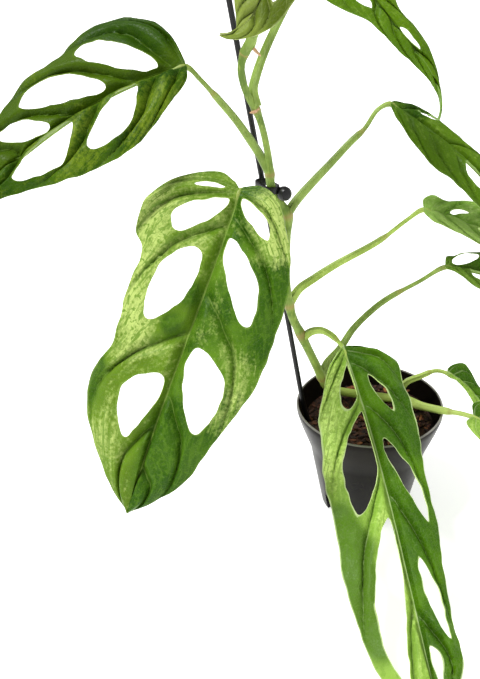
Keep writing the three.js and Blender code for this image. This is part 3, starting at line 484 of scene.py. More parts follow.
LEAVES["leaf_young_top"] = {
    "finish": "young",
    "petiole": [(-96, -24, 391), (-90.5, -27, 402), (-85, -30, 418), (-79, -37, 440)],
    "spine": [(-71, -45, 459), (-83, -57, 448), (-87, -76, 410), (-111, -70, 413)],
    "face": [(0, -0.8, 0.6), (-0.1, -0.8, 0.6)],
    "fold": (10, 10), "curl": -2, "wave": 0.8,
    "left": [
        (0, -1.4, 2), (0.5, -3, 8), (2, 6, 15), (7, 16, 19), (14, 27, 19), (22, 38, 17),
        (31, 48, 12.5), (42, 56, 7), (54, 61, 2), (69, 69, 0.8),
    ],
    "right": [
        (0, -2, 2), (0.6, -3, 9), (2, 6, 16), (7, 16, 20), (14, 27, 20), (22, 38, 18),
        (31, 47, 15), (42, 54, 10), (52, 60, 6), (69, 69, 0.8),
    ],
    "holes_left": [(3.3, 4.5, 0.2, 0.6)],
    "holes_right": [(4.6, 6, 0.2, 0.6)],
}
LEAVES["leaf_top_back"] = {
    "finish": "deep",
    "petiole": [(-92, -26, 441), (-98, -12, 462), (-110, 4, 480), (-125, 20, 491)],
    "spine": [(-140, 35, 495), (-160, 60, 497), (-185, 85, 480), (-205, 105, 445)],
    "face": [(-0.1, -0.2, 1), (-0.5, 0.4, 0.7)],
    "fold": (8, 8), "curl": -4, "wave": 1.4,
    "left": typical_half(116, 26),
    "right": typical_half(116, 25),
    "holes_left": [(3.3, 4.7, 0.14, 0.72), (5.3, 6.6, 0.14, 0.74), (7.3, 8.4, 0.16, 0.66)],
    "holes_right": [(3.2, 4.5, 0.16, 0.7), (5.2, 6.4, 0.16, 0.7), (7.2, 8.2, 0.2, 0.62)],
}

print("leaves:", len(LEAVES))

# %% [markdown]
# ## Bending a blade
#
# The spine is a Bezier curve with four points. At every distance along it there is a small
# frame: the way the midrib runs, the way the upper face looks, and the way to the right. Each
# half is folded up a little from the midrib and curls down towards its margin, and the margin
# ripples.

# %% The surface of a blade
SPINE_SAMPLES = 300
RIPPLE_REACH = 50
RIPPLE_PITCH = 9


class Blade:
    """Where a flat point of a leaf lies in space."""

    def __init__(self, leaf):
        self.leaf = leaf
        self.spine = [Vector(point) for point in leaf["spine"]]
        self.walked = [0.0]
        places = [self.bezier(i / SPINE_SAMPLES) for i in range(SPINE_SAMPLES + 1)]
        for before, after in zip(places, places[1:]):
            self.walked.append(self.walked[-1] + (after - before).length)
        self.length = self.walked[-1]
        self.faces = [Vector(face).normalized() for face in leaf["face"]]

    def bezier(self, t):
        a, b, c, d = self.spine
        return (1 - t) ** 3 * a + 3 * (1 - t) ** 2 * t * b + 3 * (1 - t) * t * t * c + t ** 3 * d

    def direction(self, t):
        a, b, c, d = self.spine
        slope = (1 - t) ** 2 * (b - a) + 2 * (1 - t) * t * (c - b) + t * t * (d - c)
        return slope.normalized()

    def frame(self, x):
        """Origin, direction along, upper side and right side at a distance from the base."""
        share = clamp(x / self.length)
        goal = share * self.length
        low, high = 0, SPINE_SAMPLES
        while high - low > 1:
            middle = (low + high) // 2
            low, high = (middle, high) if self.walked[middle] <= goal else (low, middle)
        rest = (goal - self.walked[low]) / (self.walked[high] - self.walked[low])
        t = (low + rest) / SPINE_SAMPLES
        along = self.direction(t)
        origin = self.bezier(t) + along * (x - goal)
        up = self.faces[0].lerp(self.faces[1], share)
        up = (up - along * up.dot(along)).normalized()
        return origin, along, up, up.cross(along)

    def place(self, x, y):
        origin, along, up, right = self.frame(x)
        side = 0 if y < 0 else 1
        fold = math.radians(self.leaf["fold"][side])
        curl = math.radians(self.leaf["curl"]) / 10
        reach = abs(y)
        out = (math.sin(fold + curl * reach) - math.sin(fold)) / curl
        rise = (math.cos(fold) - math.cos(fold + curl * reach)) / curl
        ripple = (self.leaf["wave"] * (reach / RIPPLE_REACH) ** 2
                  * math.sin(x / RIPPLE_PITCH + side * 2))
        return origin + right * (out if side else -out) + up * (rise + ripple)


blades = {name: Blade(leaf) for name, leaf in LEAVES.items()}
print("blade lengths in mm:", {name: round(blade.length) for name, blade in blades.items()})

# %% [markdown]
# ## Ribs, holes and side veins
#
# The holes of this plant lie between its side veins. So the veins need no drawing of their own:
# one runs midway between each hole and the next, and a few more run before the first hole and
# after the last. Every point of the blade is numbered by the veins on both sides of it, and the
# finish reads that number to draw them.

# %% Numbers along and across a half blade
HOLE_SQUARENESS = 2.6
HOLE_LEAST_Q = 0.065  # no hole comes nearer to the midrib than this share
VEIN_PITCH = 1.25  # ribs from one side vein to the next where there is no hole
VEIN_BESIDE_HOLE = 0.2
SWEEP = 1.1  # ribs by which a side vein sweeps towards the tip near the margin
FIRST_Q, LAST_Q = 0.1, 0.75  # the stretch over which a slanted hole leans
USUAL_LEAN = (0, 0.14)  # slant and taper of a hole that doesn't give its own


def rib_point(rows, rib, q):
    """The flat point at a rib number and a share q of the way out to the margin."""
    root, margin, half = (through([row[i] for row in rows], rib) for i in range(3))
    return lerp(root, margin, q), half * q


def hole_point(hole, a, b):
    """The edge of a hole towards (a, b) of a square from -1 to 1, as a rib number and a q."""
    first, last, q_from, q_to, slant, taper = hole + USUAL_LEAN[len(hole) - 4:]
    reach = (abs(a) ** HOLE_SQUARENESS + abs(b) ** HOLE_SQUARENESS) ** (1 / HOLE_SQUARENESS)
    along, out = a / reach, b / reach
    half = (last - first) / 2 * (1 - abs(taper) + taper * out)
    q = max(lerp(q_from, q_to, (1 + out) / 2), HOLE_LEAST_Q)
    return (first + last) / 2 + slant * out + half * along, q


def hole_reach(hole):
    ends = [hole_point(hole, side, step / 8)[0] for step in range(-8, 9) for side in (-1, 1)]
    return min(ends), max(ends)


def vein_lines(rows, holes):
    """One function of q for each side vein of a half blade: its rib number there."""
    def edge(hole, which, offset):
        slant = hole[4] if len(hole) > 4 else 0
        return lambda q: (hole[which] + offset
                          + slant * clamp((q - FIRST_Q) / (LAST_Q - FIRST_Q) * 2 - 1, -1, 1.2))

    def midway(one, other):
        return lambda q: (one(q) + other(q)) / 2

    lines = [midway(edge(a, 1, 0), edge(b, 0, 0)) for a, b in zip(holes, holes[1:])]
    lines.insert(0, edge(holes[0], 0, -VEIN_BESIDE_HOLE))
    lines.append(edge(holes[-1], 1, VEIN_BESIDE_HOLE))
    start, end = lines[0](0.5), lines[-1](0.5)
    while start - VEIN_PITCH > 0.8:
        start -= VEIN_PITCH
        lines.insert(0, lambda q, rib=start: rib)
    while end + VEIN_PITCH < len(rows) - 1.6:
        end += VEIN_PITCH
        lines.append(lambda q, rib=end: rib)
    return lines


def vein_number(lines, rib, q):
    """How many side veins lie before a point: whole on a vein, fractional between two."""
    sweep = SWEEP * clamp((q - 0.5) / 0.5) ** 2
    ribs = [line(q) + sweep for line in lines]
    ribs = [ribs[0] - VEIN_PITCH] + ribs + [ribs[-1] + VEIN_PITCH]
    for i in range(len(ribs) - 1):
        if rib <= ribs[i + 1] or i == len(ribs) - 2:
            return i + (rib - ribs[i]) / (ribs[i + 1] - ribs[i])

# %% [markdown]
# ## The net of a blade
#
# A half blade is laid out as a row of cells, one round each hole and plain ones between them.
# Each cell is a grid of its own. To open a hole, the middle of the grid is deleted, and the
# rings that are left are stretched from the edge of the cell to the edge of the hole. All the
# faces run along the veins that way, which is what makes them bend cleanly. The cells are then
# merged, the few faces that small waves have folded over are smoothed out, and the strip along
# the midrib is filled with triangles.

# %% Grids for the cells, and the midrib strip
FACE = {True: 1.5, False: 1.9}  # about one face of a large and of a small leaf, in mm
ACROSS = {True: 32, False: 24}  # faces from the midrib strip to the margin
LARGE = 160  # a blade this long is a large one
HOLE_CORE = 0.5  # the share of a cell's grid that is deleted
RIB_SPAN = 6  # mm from rib to rib, at least, where the faces of a cell are counted
STRIP_Q = 0.045  # the strip along the midrib ends at this share
STRIP_END = STRIP_Q + 1e-4
CELL_BORDER = 0.4  # ribs between a hole and the end of its cell, at most
END_BORDER = 0.3  # and before the first hole and after the last
WELD = 0.004
WAVE, WAVE_SCALE = 1.1, 0.13  # the small waves of the hole edges, in mm and per mm
MARGIN_WAVE, MARGIN_SCALE = 1.1, 0.1
UNFOLD_ROUNDS = 120


def cells_of(rows, holes):
    """The stretches of ribs: one round each hole, and plain ones between them."""
    cells, start = [], 0.0
    reaches = [hole_reach(hole) for hole in holes]
    for i, (hole, (first, last)) in enumerate(zip(holes, reaches)):
        before = END_BORDER if i == 0 else (first - reaches[i - 1][1]) / 2
        after = (reaches[i + 1][0] - last) / 2 if i + 1 < len(holes) else END_BORDER
        opening = first - min(before, CELL_BORDER)
        cells.append((start, opening, None))
        start = last + min(after, CELL_BORDER)
        cells.append((opening, start, hole))
    cells.append((start, len(rows) - 1, None))
    return [cell for cell in cells if cell[1] - cell[0] > 0.01]


def add_cell(bm, rows, side, start, end, hole, large):
    """One grid of a half blade; side is -1 on the left and 1 on the right."""
    rib_layer, q_layer = layers_of(bm, "rib", "q")
    near, far = rib_point(rows, start, 0.6), rib_point(rows, end, 0.6)
    span = max(math.dist(near, far), (end - start) * RIB_SPAN)
    columns = 4 * max(2 if hole else 1, round(span / FACE[large] / 4))
    verts = bmesh.ops.create_grid(bm, x_segments=columns, y_segments=ACROSS[large],
                                  size=1)["verts"]
    if hole:
        faces = {face for vert in verts for face in vert.link_faces}
        core = [face for face in faces
                if max(abs(part) for part in face.calc_center_median()) < HOLE_CORE]
        bmesh.ops.delete(bm, geom=core, context="FACES")
    for vert in verts:
        if not vert.is_valid:
            continue
        a, b = vert.co.x, vert.co.y
        ring = max(abs(a), abs(b))
        edge_a, edge_b = (a / ring, b / ring) if hole else (a, b)
        rib = lerp(start, end, (1 + edge_a) / 2)
        q = lerp(STRIP_Q, 1, (1 + edge_b) / 2)
        if hole:
            inner_rib, inner_q = hole_point(hole, edge_a, edge_b)
            out = (ring - HOLE_CORE) / (1 - HOLE_CORE)
            rib, q = lerp(inner_rib, rib, out), lerp(inner_q, q, out)
        x, y = rib_point(rows, rib, q)
        ripple = noise.noise(Vector((x * MARGIN_SCALE, side * 3.7, 0)))
        y += ripple * MARGIN_WAVE * q ** 8 * clamp(y / 20)
        if hole and q < 1:
            calm = clamp((inner_q - HOLE_LEAST_Q) * 8)
            wave = noise.noise_vector(Vector((x, side * y, 0)) * WAVE_SCALE)
            wave = wave * WAVE * (1 - out) * calm
            x, y = x + wave.x, y + side * wave.y
        vert.co = (x, side * y, 0)
        vert[rib_layer], vert[q_layer] = rib, q


def fill_strip(bm, length):
    """Joins each half to one line of points along the midrib, with triangles."""
    rib_layer, q_layer = layers_of(bm, "rib", "q")
    inner = {1: [], -1: []}
    for vert in bm.verts:
        if vert.is_boundary and vert[q_layer] < STRIP_END:
            inner[1 if vert.co.y > 0 else -1].append(vert)
    count = round(length / FACE[length > LARGE])
    chain = [bm.verts.new((length * i / count, 0, 0)) for i in range(count + 1)]
    for side, verts in inner.items():
        line = sorted(verts, key=lambda vert: vert[rib_layer])
        i = j = 0
        while i < count or j < len(line) - 1:
            if i == count or (j < len(line) - 1 and line[j + 1].co.x < chain[i + 1].co.x):
                corners = (chain[i], line[j + 1], line[j])
                j += 1
            else:
                corners = (chain[i], chain[i + 1], line[j])
                i += 1
            bm.faces.new(corners[::side])


def unfold(bm):
    """Smooths the few faces that the waves have folded over, until none is left."""
    q_layer, = layers_of(bm, "q")
    for _ in range(UNFOLD_ROUNDS):
        bm.normal_update()
        folded = [face for face in bm.faces
                  if face.normal.z * face.calc_center_median().y < 0]
        verts = {vert for face in folded for vert in face.verts if vert[q_layer] > STRIP_END}
        if not verts:
            break
        bmesh.ops.smooth_vert(bm, verts=list(verts), factor=0.5,
                              use_axis_x=True, use_axis_y=True)


def flat_blade(bm, leaf, length):
    for side, rows, holes in ((-1, leaf["left"], leaf["holes_left"]),
                              (1, leaf["right"], leaf["holes_right"])):
        for start, end, hole in cells_of(rows, holes):
            add_cell(bm, rows, side, start, end, hole, length > LARGE)
    bmesh.ops.remove_doubles(bm, verts=list(bm.verts), dist=WELD)
    unfold(bm)
    mirrored = [face for face in bm.faces if face.calc_center_median().y < 0]
    bmesh.ops.reverse_faces(bm, faces=mirrored)
    fill_strip(bm, length)
    bm.normal_update()

# %% [markdown]
# ## Veins in the surface
#
# The side veins of this plant lie deep in the upper face, and the blade swells softly between
# them, as a quilt does between its seams. One skin of points is moved up and down for that, and
# then the skin is given its thickness. So every groove above is a ridge below, as on the real
# leaf. The height of each point comes from its distance to the nearest vein.

# %% Relief and thickness
BLADE_THICKNESS = 0.6
TOP, UNDER, RIM, PETIOLE = range(4)  # the material slots of a leaf
QUILT = 4.6
QUILT_SLOPE = 4.4  # mm from a vein to the flat top of the swelling
VEIN_DEPTH = 0.75
VEIN_WIDTH = 1.0
MIDRIB_DEPTH = 0.9
MIDRIB_WIDTH = 1.4
SHOULDER = 1.3  # how far the blade rises beside the midrib
SHOULDER_SLOPE = 5.0
REST = 1.3  # sinks the skin, so that valleys and swellings lie on both sides of its plain form
FULL_RELIEF_HALF = 42  # a blade this wide on one side has the full relief
LEAST_RELIEF = 0.3
RIGHT_VEINS = 20  # added to the vein numbers of the right half, so that no two veins share one


def relief(x, y, q, vein_distance, pitch, share, tone):
    """The height in mm of a point of the blade above its plain surface."""
    swell = (1 - math.exp(-(vein_distance / QUILT_SLOPE) ** 2)) * clamp(pitch / 16)
    groove = math.exp(-(vein_distance / VEIN_WIDTH) ** 2)
    inside = clamp((q - 0.02) / 0.1) * clamp((1.03 - q) / 0.3)
    middle = MIDRIB_DEPTH * math.exp(-(y / MIDRIB_WIDTH) ** 2) * (1 - 0.8 * share)
    shoulder = SHOULDER * (1 - math.exp(-(y / SHOULDER_SLOPE) ** 2)) * (1 - 0.6 * share)
    crinkle = 0.6 * noise.noise(Vector((x, y, 0)) * 0.11)
    crinkle += 0.9 * noise.noise(Vector((x * 0.1, 9 * math.copysign(1, y), 0))) * q ** 6
    crumple = 0.3 + 0.75 * clamp(-tone - 0.8)
    crinkle += crumple * noise.noise(Vector((x * 0.13, y * 0.3, 5)))
    return (QUILT * swell - VEIN_DEPTH * groove) * inside - middle + shoulder + crinkle - REST


def relief_size(leaf):
    """The relief of a leaf as a share of the full one, by the width of its blade."""
    half = max(row[2] for row in leaf["left"] + leaf["right"])
    return clamp(half / FULL_RELIEF_HALF, LEAST_RELIEF, 1)


def number_points(bm, leaf):
    """Writes on each flat point where it is: millimetres, vein number, q, and vein pitch."""
    rib_layer, q_layer, flat, vein, rim, tone = layers_of(
        bm, "rib", "q", "flat", "vein", "rim", "tone")
    lines = {side: vein_lines(leaf[side], leaf["holes_" + side]) for side in ("left", "right")}
    for vert in bm.verts:
        x, y = vert.co.x, vert.co.y
        side = "left" if y < 0 else "right"
        rib, q = vert[rib_layer], vert[q_layer]
        vert[rim] = float(vert.is_boundary)
        number, pitch = 0.0, 1.0
        if q > 0:
            low, high = rib - 0.05, rib + 0.05
            number = vein_number(lines[side], rib, q)
            turned = vein_number(lines[side], high, q) - vein_number(lines[side], low, q)
            moved = math.dist(rib_point(leaf[side], low, q), rib_point(leaf[side], high, q))
            pitch = clamp(moved / turned, 2, 60)
        vert[flat] = (x, y, 0)
        vert[vein] = (number + (0 if y < 0 else RIGHT_VEINS), q, pitch)
        vert[tone] = sum(amount * math.exp(-((x - at_x) ** 2 + (y - at_y) ** 2) / reach ** 2)
                         for at_x, at_y, reach, amount in leaf.get("patches", ()))


def bend_blade(bm, blade, leaf):
    flat, vein, tone = layers_of(bm, "flat", "vein", "tone")
    size = relief_size(leaf)
    for vert in bm.verts:
        vert.co = blade.place(vert[flat].x, vert[flat].y) * MM
    bm.normal_update()
    heights = []
    for vert in bm.verts:
        number, q, pitch = vert[vein]
        distance = abs(number - round(number)) * pitch
        share = clamp(vert[flat].x / blade.length)
        at_x, at_y = vert[flat].x / size, vert[flat].y / size
        height = relief(at_x, at_y, q, distance / size, pitch / size, share, vert[tone]) * size
        heights.append(height * clamp(vert[flat].x / 10))
    for vert, height in zip(bm.verts, heights):
        vert.co += vert.normal * (height * MM)
    bm.normal_update()


def evaluated(bm, *helpers):
    """Fills a bmesh with the first helper as its modifiers shape it; removes the helpers."""
    shaped = helpers[0].evaluated_get(bpy.context.evaluated_depsgraph_get())
    bm.from_mesh(shaped.to_mesh())
    for part in helpers:
        bpy.data.objects.remove(part)
    return bm


def thicken_blade(skin):
    """Gives the skin its thickness; the lower face and the rim get finishes of their own."""
    sheet = to_object(skin, "skin")
    for _ in (TOP, UNDER, RIM):
        sheet.data.materials.append(None)
    wall = sheet.modifiers.new("Thickness", "SOLIDIFY")
    wall.thickness = BLADE_THICKNESS * MM
    wall.offset = 0
    wall.material_offset = UNDER
    wall.material_offset_rim = RIM
    return evaluated(bmesh.new(), sheet)

# %% [markdown]
# ## Finishes
#
# A leaf of this plant is many greens at once. So its finish is built in layers: a ground that
# drifts between two greens, pale marbling that runs out along the side veins, freckles, the
# veins themselves, and a thin pale rim. What several finishes share is kept in node groups.

# %% Building materials from nodes
def linear(code):
    """A colour such as "4E8B1E", as the numbers that a shader wants."""
    parts = [int(code[i:i + 2], 16) / 255 for i in (0, 2, 4)]
    return tuple(part / 12.92 if part <= 0.04045 else ((part + 0.055) / 1.055) ** 2.4
                 for part in parts) + (1.0,)


class Nodes:
    """A short way to write node trees."""

    def __init__(self, tree):
        self.tree = tree

    def add(self, kind, inputs=None, **settings):
        node = self.tree.nodes.new(kind)
        for name, value in settings.items():
            setattr(node, name, value)
        for key, value in (inputs or {}).items():
            if isinstance(value, bpy.types.NodeSocket):
                self.tree.links.new(value, node.inputs[key])
            else:
                node.inputs[key].default_value = value
        return node

    def math(self, operation, a, b=0.5, c=0.5, clip=False):
        node = self.add("ShaderNodeMath", {0: a, 1: b, 2: c}, operation=operation)
        node.use_clamp = clip
        return node.outputs[0]

    def times(self, a, b):
        return self.math("MULTIPLY", a, b)

    def scaled(self, a, factor, b):
        """a times a factor, plus b."""
        return self.math("MULTIPLY_ADD", a, factor, b)

    def step(self, value, low, high):
        """0 below low and 1 above high, soft between; falls if high is below low."""
        node = self.add("ShaderNodeMapRange", {"Value": value}, interpolation_type="SMOOTHSTEP")
        ends = (low, high, 0.0, 1.0) if low < high else (high, low, 1.0, 0.0)
        for i, end in enumerate(ends):
            node.inputs[i + 1].default_value = end
        return node.outputs["Result"]

    def mix(self, factor, a, b):
        """A mix of two colours, each a socket or a code."""
        node = self.add("ShaderNodeMix", {0: factor}, data_type="RGBA")
        for socket, value in ((node.inputs[6], a), (node.inputs[7], b)):
            if isinstance(value, bpy.types.NodeSocket):
                self.tree.links.new(value, socket)
            else:
                socket.default_value = linear(value)
        return node.outputs[2]

    def layered(self, colour, *layers):
        """Colours laid over a ground one by one, each by a mask times a strength."""
        for mask, strength, over in layers:
            colour = self.mix(self.times(mask, strength), colour, over)
        return colour

    def noise(self, vector, scale, detail=2.0, roughness=0.5):
        inputs = {"Vector": vector, "Scale": scale, "Detail": detail, "Roughness": roughness}
        return self.add("ShaderNodeTexNoise", inputs).outputs["Fac"]

    def attribute(self, name, output="Vector"):
        return self.add("ShaderNodeAttribute", attribute_name=name).outputs[output]

    def place(self):
        return self.add("ShaderNodeTexCoord").outputs["Object"]

    def parts(self, vector):
        """The X, Y and Z of a vector."""
        return self.add("ShaderNodeSeparateXYZ", {0: vector}).outputs

    def along_z(self, vector, share):
        """A vector that runs more slowly along z, which draws a texture out along it."""
        node = self.add("ShaderNodeVectorMath", {0: vector, 1: (1, 1, share)},
                        operation="MULTIPLY")
        return node.outputs[0]

    def deliver(self, values):
        """Links the results of a group, by title, to its output."""
        out = self.add("NodeGroupOutput")
        for title, value in values.items():
            self.tree.links.new(value, out.inputs[title])


def new_group(name, inputs, outputs):
    """A node group of plain numbers; its inputs are a default value by title."""
    group = bpy.data.node_groups.new(name, "ShaderNodeTree")
    for title, default in inputs.items():
        socket = group.interface.new_socket(title, in_out="INPUT",
                                            socket_type="NodeSocketFloat")
        socket.default_value = default
    for title in outputs:
        group.interface.new_socket(title, in_out="OUTPUT", socket_type="NodeSocketFloat")
    nodes = Nodes(group)
    return group, nodes, nodes.add("NodeGroupInput").outputs


def new_material(name, roughness, **values):
    """A material with one Principled shader, whose plain numbers are set on the shader."""
    material = bpy.data.materials.new(name)
    material.use_nodes = True
    shader = material.node_tree.nodes["Principled BSDF"]
    shader.inputs["Roughness"].default_value = roughness
    for key, value in values.items():
        shader.inputs[key.replace("_", " ")].default_value = value
    return material, Nodes(material.node_tree), shader


def paint(nodes, shader, colour, height=None, strength=0.0, depth=0.0):
    """Links a colour to a shader, and a bump where a height is given; depth is in mm."""
    nodes.tree.links.new(colour, shader.inputs["Base Color"])
    if height is not None:
        bump = nodes.add("ShaderNodeBump", {"Height": height, "Strength": strength,
                                            "Distance": depth * MM})
        nodes.tree.links.new(bump.outputs[0], shader.inputs["Normal"])

# %% [markdown]
# The vein group reads the numbers that were written on the points of the blade. A point whose
# vein number is whole lies on a side vein, and its fraction times the vein pitch is the
# distance to it in millimetres. The fine net between the side veins is the edge pattern of a
# Voronoi texture.

# %% Node group: veins of a leaf
veins_group, g, _ = new_group("Leaf veins", {},
                              ("Midrib", "Side vein", "Beside vein", "Net", "Height"))
flat = g.parts(g.attribute("flat"))
vein = g.parts(g.attribute("vein"))
wobble = g.scaled(g.noise(g.attribute("flat"), 0.05, 1.0), 0.08, -0.04)
fraction = g.math("PINGPONG", g.math("ADD", vein["X"], wobble), 0.5)
distance = g.times(fraction, vein["Z"])
clear = g.step(vein["Y"], 0.044, 0.07)  # the side veins start beside the midrib
fade = g.step(vein["Y"], 0.99, 0.8)  # and fade before the margin
side_vein = g.times(g.times(g.step(distance, 0.75, 0.2), clear), fade)
slim = g.scaled(flat["X"], 0.003, 1.0)  # the midrib grows finer along the blade
cells = g.add("ShaderNodeTexVoronoi", {"Vector": g.attribute("flat"), "Scale": 0.45},
              feature="DISTANCE_TO_EDGE")
net = g.step(cells.outputs["Distance"], 0.09, 0.0)
grain = g.noise(g.attribute("flat"), 1.1, 3.0)
height = g.scaled(net, -0.35, g.times(grain, 0.5))
g.deliver({
    "Midrib": g.step(g.times(g.math("ABSOLUTE", flat["Y"]), slim), 1.05, 0.5),
    "Side vein": side_vein,
    "Beside vein": g.times(g.step(distance, 5.0, 0.8), clear),
    "Net": net,
    "Height": g.scaled(side_vein, -0.35, height),
})

# %% Node group: marbling that runs along the side veins
marbling_group, g, given = new_group(
    "Leaf marbling", {"Amount left": 0.5, "Amount right": 0.3, "Seed": 0.0},
    ("Marbling", "Flecks", "Drift", "Left half"))
flat = g.parts(g.attribute("flat"))
vein = g.parts(g.attribute("vein"))
left_half = g.step(flat["Y"], 0.2, -0.2)
amount = g.add("ShaderNodeMix", {0: left_half, 2: given["Amount right"],
                                 3: given["Amount left"]}).outputs[0]
streak_at, patch_at = (
    g.add("ShaderNodeCombineXYZ", {0: x, 1: y, 2: given["Seed"]}).outputs[0]
    for x, y in ((g.times(vein["X"], 5.0), g.times(vein["Y"], 2.6)), (flat["X"], flat["Y"])))
streaks = g.noise(streak_at, 1.3, 4.0, 0.65)  # numbered by veins, so they run along them
patches = g.noise(patch_at, 0.055, 3.0, 0.6)  # in millimetres, so they lie anywhere
mottle = g.noise(patch_at, 0.4, 4.0, 0.7)
pattern = g.scaled(streaks, 0.4, g.times(patches, 0.2))
pattern = g.scaled(mottle, 0.4, pattern)
pattern = g.scaled(g.attribute("tone", "Fac"), 0.16, pattern)
threshold = g.scaled(amount, -0.4, 0.68)
marbling = g.math("MULTIPLY", g.math("SUBTRACT", pattern, threshold), 6.0, clip=True)
dashes = g.step(g.noise(streak_at, 2.1, 3.0, 0.6), 0.52, 0.6)
specks = g.step(g.noise(patch_at, 0.3, 3.0, 0.6), 0.53, 0.61)
g.deliver({
    "Marbling": marbling,
    "Flecks": g.times(g.math("MAXIMUM", dashes, specks), g.scaled(marbling, 0.55, 0.45)),
    "Drift": g.noise(patch_at, 0.03, 3.0),
    "Left half": left_half,
})

# %% The upper side, underside and rim of the leaves
# Colours: dark and light ground, ground of the left half, marbling, veins. Then the amounts:
# marbling on the left and on the right, flecks, pale rim, and shade beside the veins.
LEAF_FINISHES = {
    "marbled": ("2C5206", "5A801C", "66841E", "B4C86E", "94B054", 0.48, 0.38, 0.85, 0.3, 0.4),
    "olive": ("204200", "426204", "465E06", "7A9024", "6F8C2C", 0.28, 0.42, 0.5, 0.25, 0.35),
    "bright": ("345A06", "507A0C", "A4CC54", "C6E278", "BCD090", 0.46, 0.22, 0.6, 0.9, 0.1),
    "deep": ("284A00", "527408", "4C7008", "88A840", "7C9E4C", 0.36, 0.36, 0.4, 0.3, 0.1),
    "sage": ("486A14", "6C8E30", "6C8C2C", "9CB65C", "90AC58", 0.36, 0.36, 0.4, 0.3, 0.2),
    # painted light: a leaf green made lighter, for a leaf whose face turns up into the light
    "fresh": ("76A036", "9CC25C", "A6C866", "C6DC8A", "B4CC7C", 0.45, 0.45, 0.4, 0.3, 0.22),
    "young": ("506216", "788A34", "8A9A46", "B0C06C", "A2AE6C", 0.3, 0.25, 0.1, 0.4, 0.3),
}


def leaf_top(name, seed):
    dark, light, left_ground, pale, vein_colour = LEAF_FINISHES[name][:5]
    left, right, flecked, rimmed, shaded = LEAF_FINISHES[name][5:]
    material, nodes, shader = new_material("Leaf_top_" + name, 0.38, Specular_IOR_Level=0.11)
    veins = nodes.add("ShaderNodeGroup", node_tree=veins_group).outputs
    marbled = nodes.add("ShaderNodeGroup", {"Amount left": left, "Amount right": right,
                                            "Seed": seed}, node_tree=marbling_group).outputs
    colour = nodes.layered(
        nodes.mix(nodes.step(marbled["Drift"], 0.38, 0.62), dark, light),
        (marbled["Left half"], 0.65, left_ground),
        (nodes.step(nodes.attribute("tone", "Fac"), -0.15, -0.9), 0.8, dark),
        (marbled["Marbling"], 1.0, pale),
        (marbled["Flecks"], flecked, light),
        (veins["Beside vein"], shaded, dark),
        (veins["Net"], 0.07, vein_colour),
        (veins["Side vein"], 0.3, vein_colour),
        (veins["Midrib"], 0.65, vein_colour),
        (nodes.step(nodes.attribute("rim", "Fac"), 0.35, 0.8), rimmed, vein_colour))
    paint(nodes, shader, colour, veins["Height"], 0.7, 0.6)
    return material


def leaf_under(name):
    light, pale = LEAF_FINISHES[name][1], LEAF_FINISHES[name][3]
    material, nodes, shader = new_material("Leaf_under_" + name, 0.6, Specular_IOR_Level=0.2)
    veins = nodes.add("ShaderNodeGroup", node_tree=veins_group).outputs
    drift = nodes.noise(nodes.attribute("flat"), 0.03)
    colour = nodes.mix(nodes.step(drift, 0.35, 0.65), light, pale)
    lines = nodes.math("MAXIMUM", veins["Side vein"], veins["Midrib"])
    colour = nodes.layered(nodes.mix(0.35, colour, "A9BF86"), (lines, 0.6, "C6D6A0"))
    paint(nodes, shader, colour, veins["Height"], 0.25, -0.4)
    return material


def leaf_rim(name):
    pale, vein_colour = LEAF_FINISHES[name][3:5]
    material, nodes, shader = new_material("Leaf_rim_" + name, 0.5)
    drift = nodes.noise(nodes.attribute("flat"), 0.06)
    paint(nodes, shader, nodes.mix(drift, pale, vein_colour))
    return material


print("finishes for leaves:", list(LEAF_FINISHES))

# %% Petioles and the vine
def streaked(nodes, where, fine, coarse):
    """A mask of streaks along the z axis of the plant, and one of soft patches."""
    return nodes.noise(nodes.along_z(where, 0.18), fine, 3.0), nodes.noise(where, coarse, 3.0)


def stalk_material(name, dark, light, pale, scar):
    """A green stalk, with painted light low down: paler there, where the creeping parts face up
    to the light.
    """
    material, nodes, shader = new_material(name, 0.45, Specular_IOR_Level=0.25,
                                           Coat_Weight=0.05, Coat_Roughness=0.3)
    where = nodes.place()
    streaks, patches = streaked(nodes, where, 900, 60)
    colour = nodes.layered(
        nodes.mix(nodes.step(patches, 0.35, 0.65), dark, light),
        # painted highlight: paler below 0.15 m, for the light on the low, upturned parts
        (nodes.step(nodes.parts(where)["Z"], 0.15, 0.1), 0.7, pale),
        (nodes.step(streaks, 0.5, 0.75), 0.5, pale),
        (nodes.attribute("rim", "Fac"), 0.8, scar))
    paint(nodes, shader, colour, streaks, 0.3, 0.3)
    return material


petiole_green = stalk_material("Petiole_green", "6E8636", "8EA850", "A8BA70", "8E8C44")
petiole_pale = stalk_material("Petiole_pale", "8CA640", "AAC45C", "C2D676", "9CA050")
vine_green = stalk_material("Vine_green", "5E7A28", "8CA64A", "B0C45E", "A08A50")
root_tan = stalk_material("Aerial_root_tan", "B48A62", "D4AE88", "E4C6A4", "9A7450")
print("finishes for stalks:", petiole_green.name, petiole_pale.name, vine_green.name)

# %% Pot, soil, stake and clip
pot_black, nodes, shader = new_material("Pot_black_plastic", 0.3, Specular_IOR_Level=0.1)
where = nodes.place()
cloud = nodes.noise(where, 22, 3.0)
lip_highlight = nodes.step(nodes.parts(where)["Z"], 0.0985, 0.0998)  # painted highlight: pale at the very top of the rim
colour = nodes.mix(nodes.step(cloud, 0.35, 0.7), "0D0A07", "16110C")
colour = nodes.layered(colour, (lip_highlight, 0.7, "A6A29C"))
nodes.tree.links.new(nodes.scaled(cloud, 0.2, 0.2), shader.inputs["Roughness"])
paint(nodes, shader, colour, nodes.noise(where, 1500, 2.0), 0.15, 0.2)

stake_black, nodes, shader = new_material("Stake_black_satin", 0.35, Specular_IOR_Level=0.3)
streaks, patches = streaked(nodes, nodes.place(), 1200, 50)
colour = nodes.mix(nodes.step(patches, 0.4, 0.7), "0C0C0D", "161617")
paint(nodes, shader, nodes.layered(colour, (streaks, 0.3, "222224")))

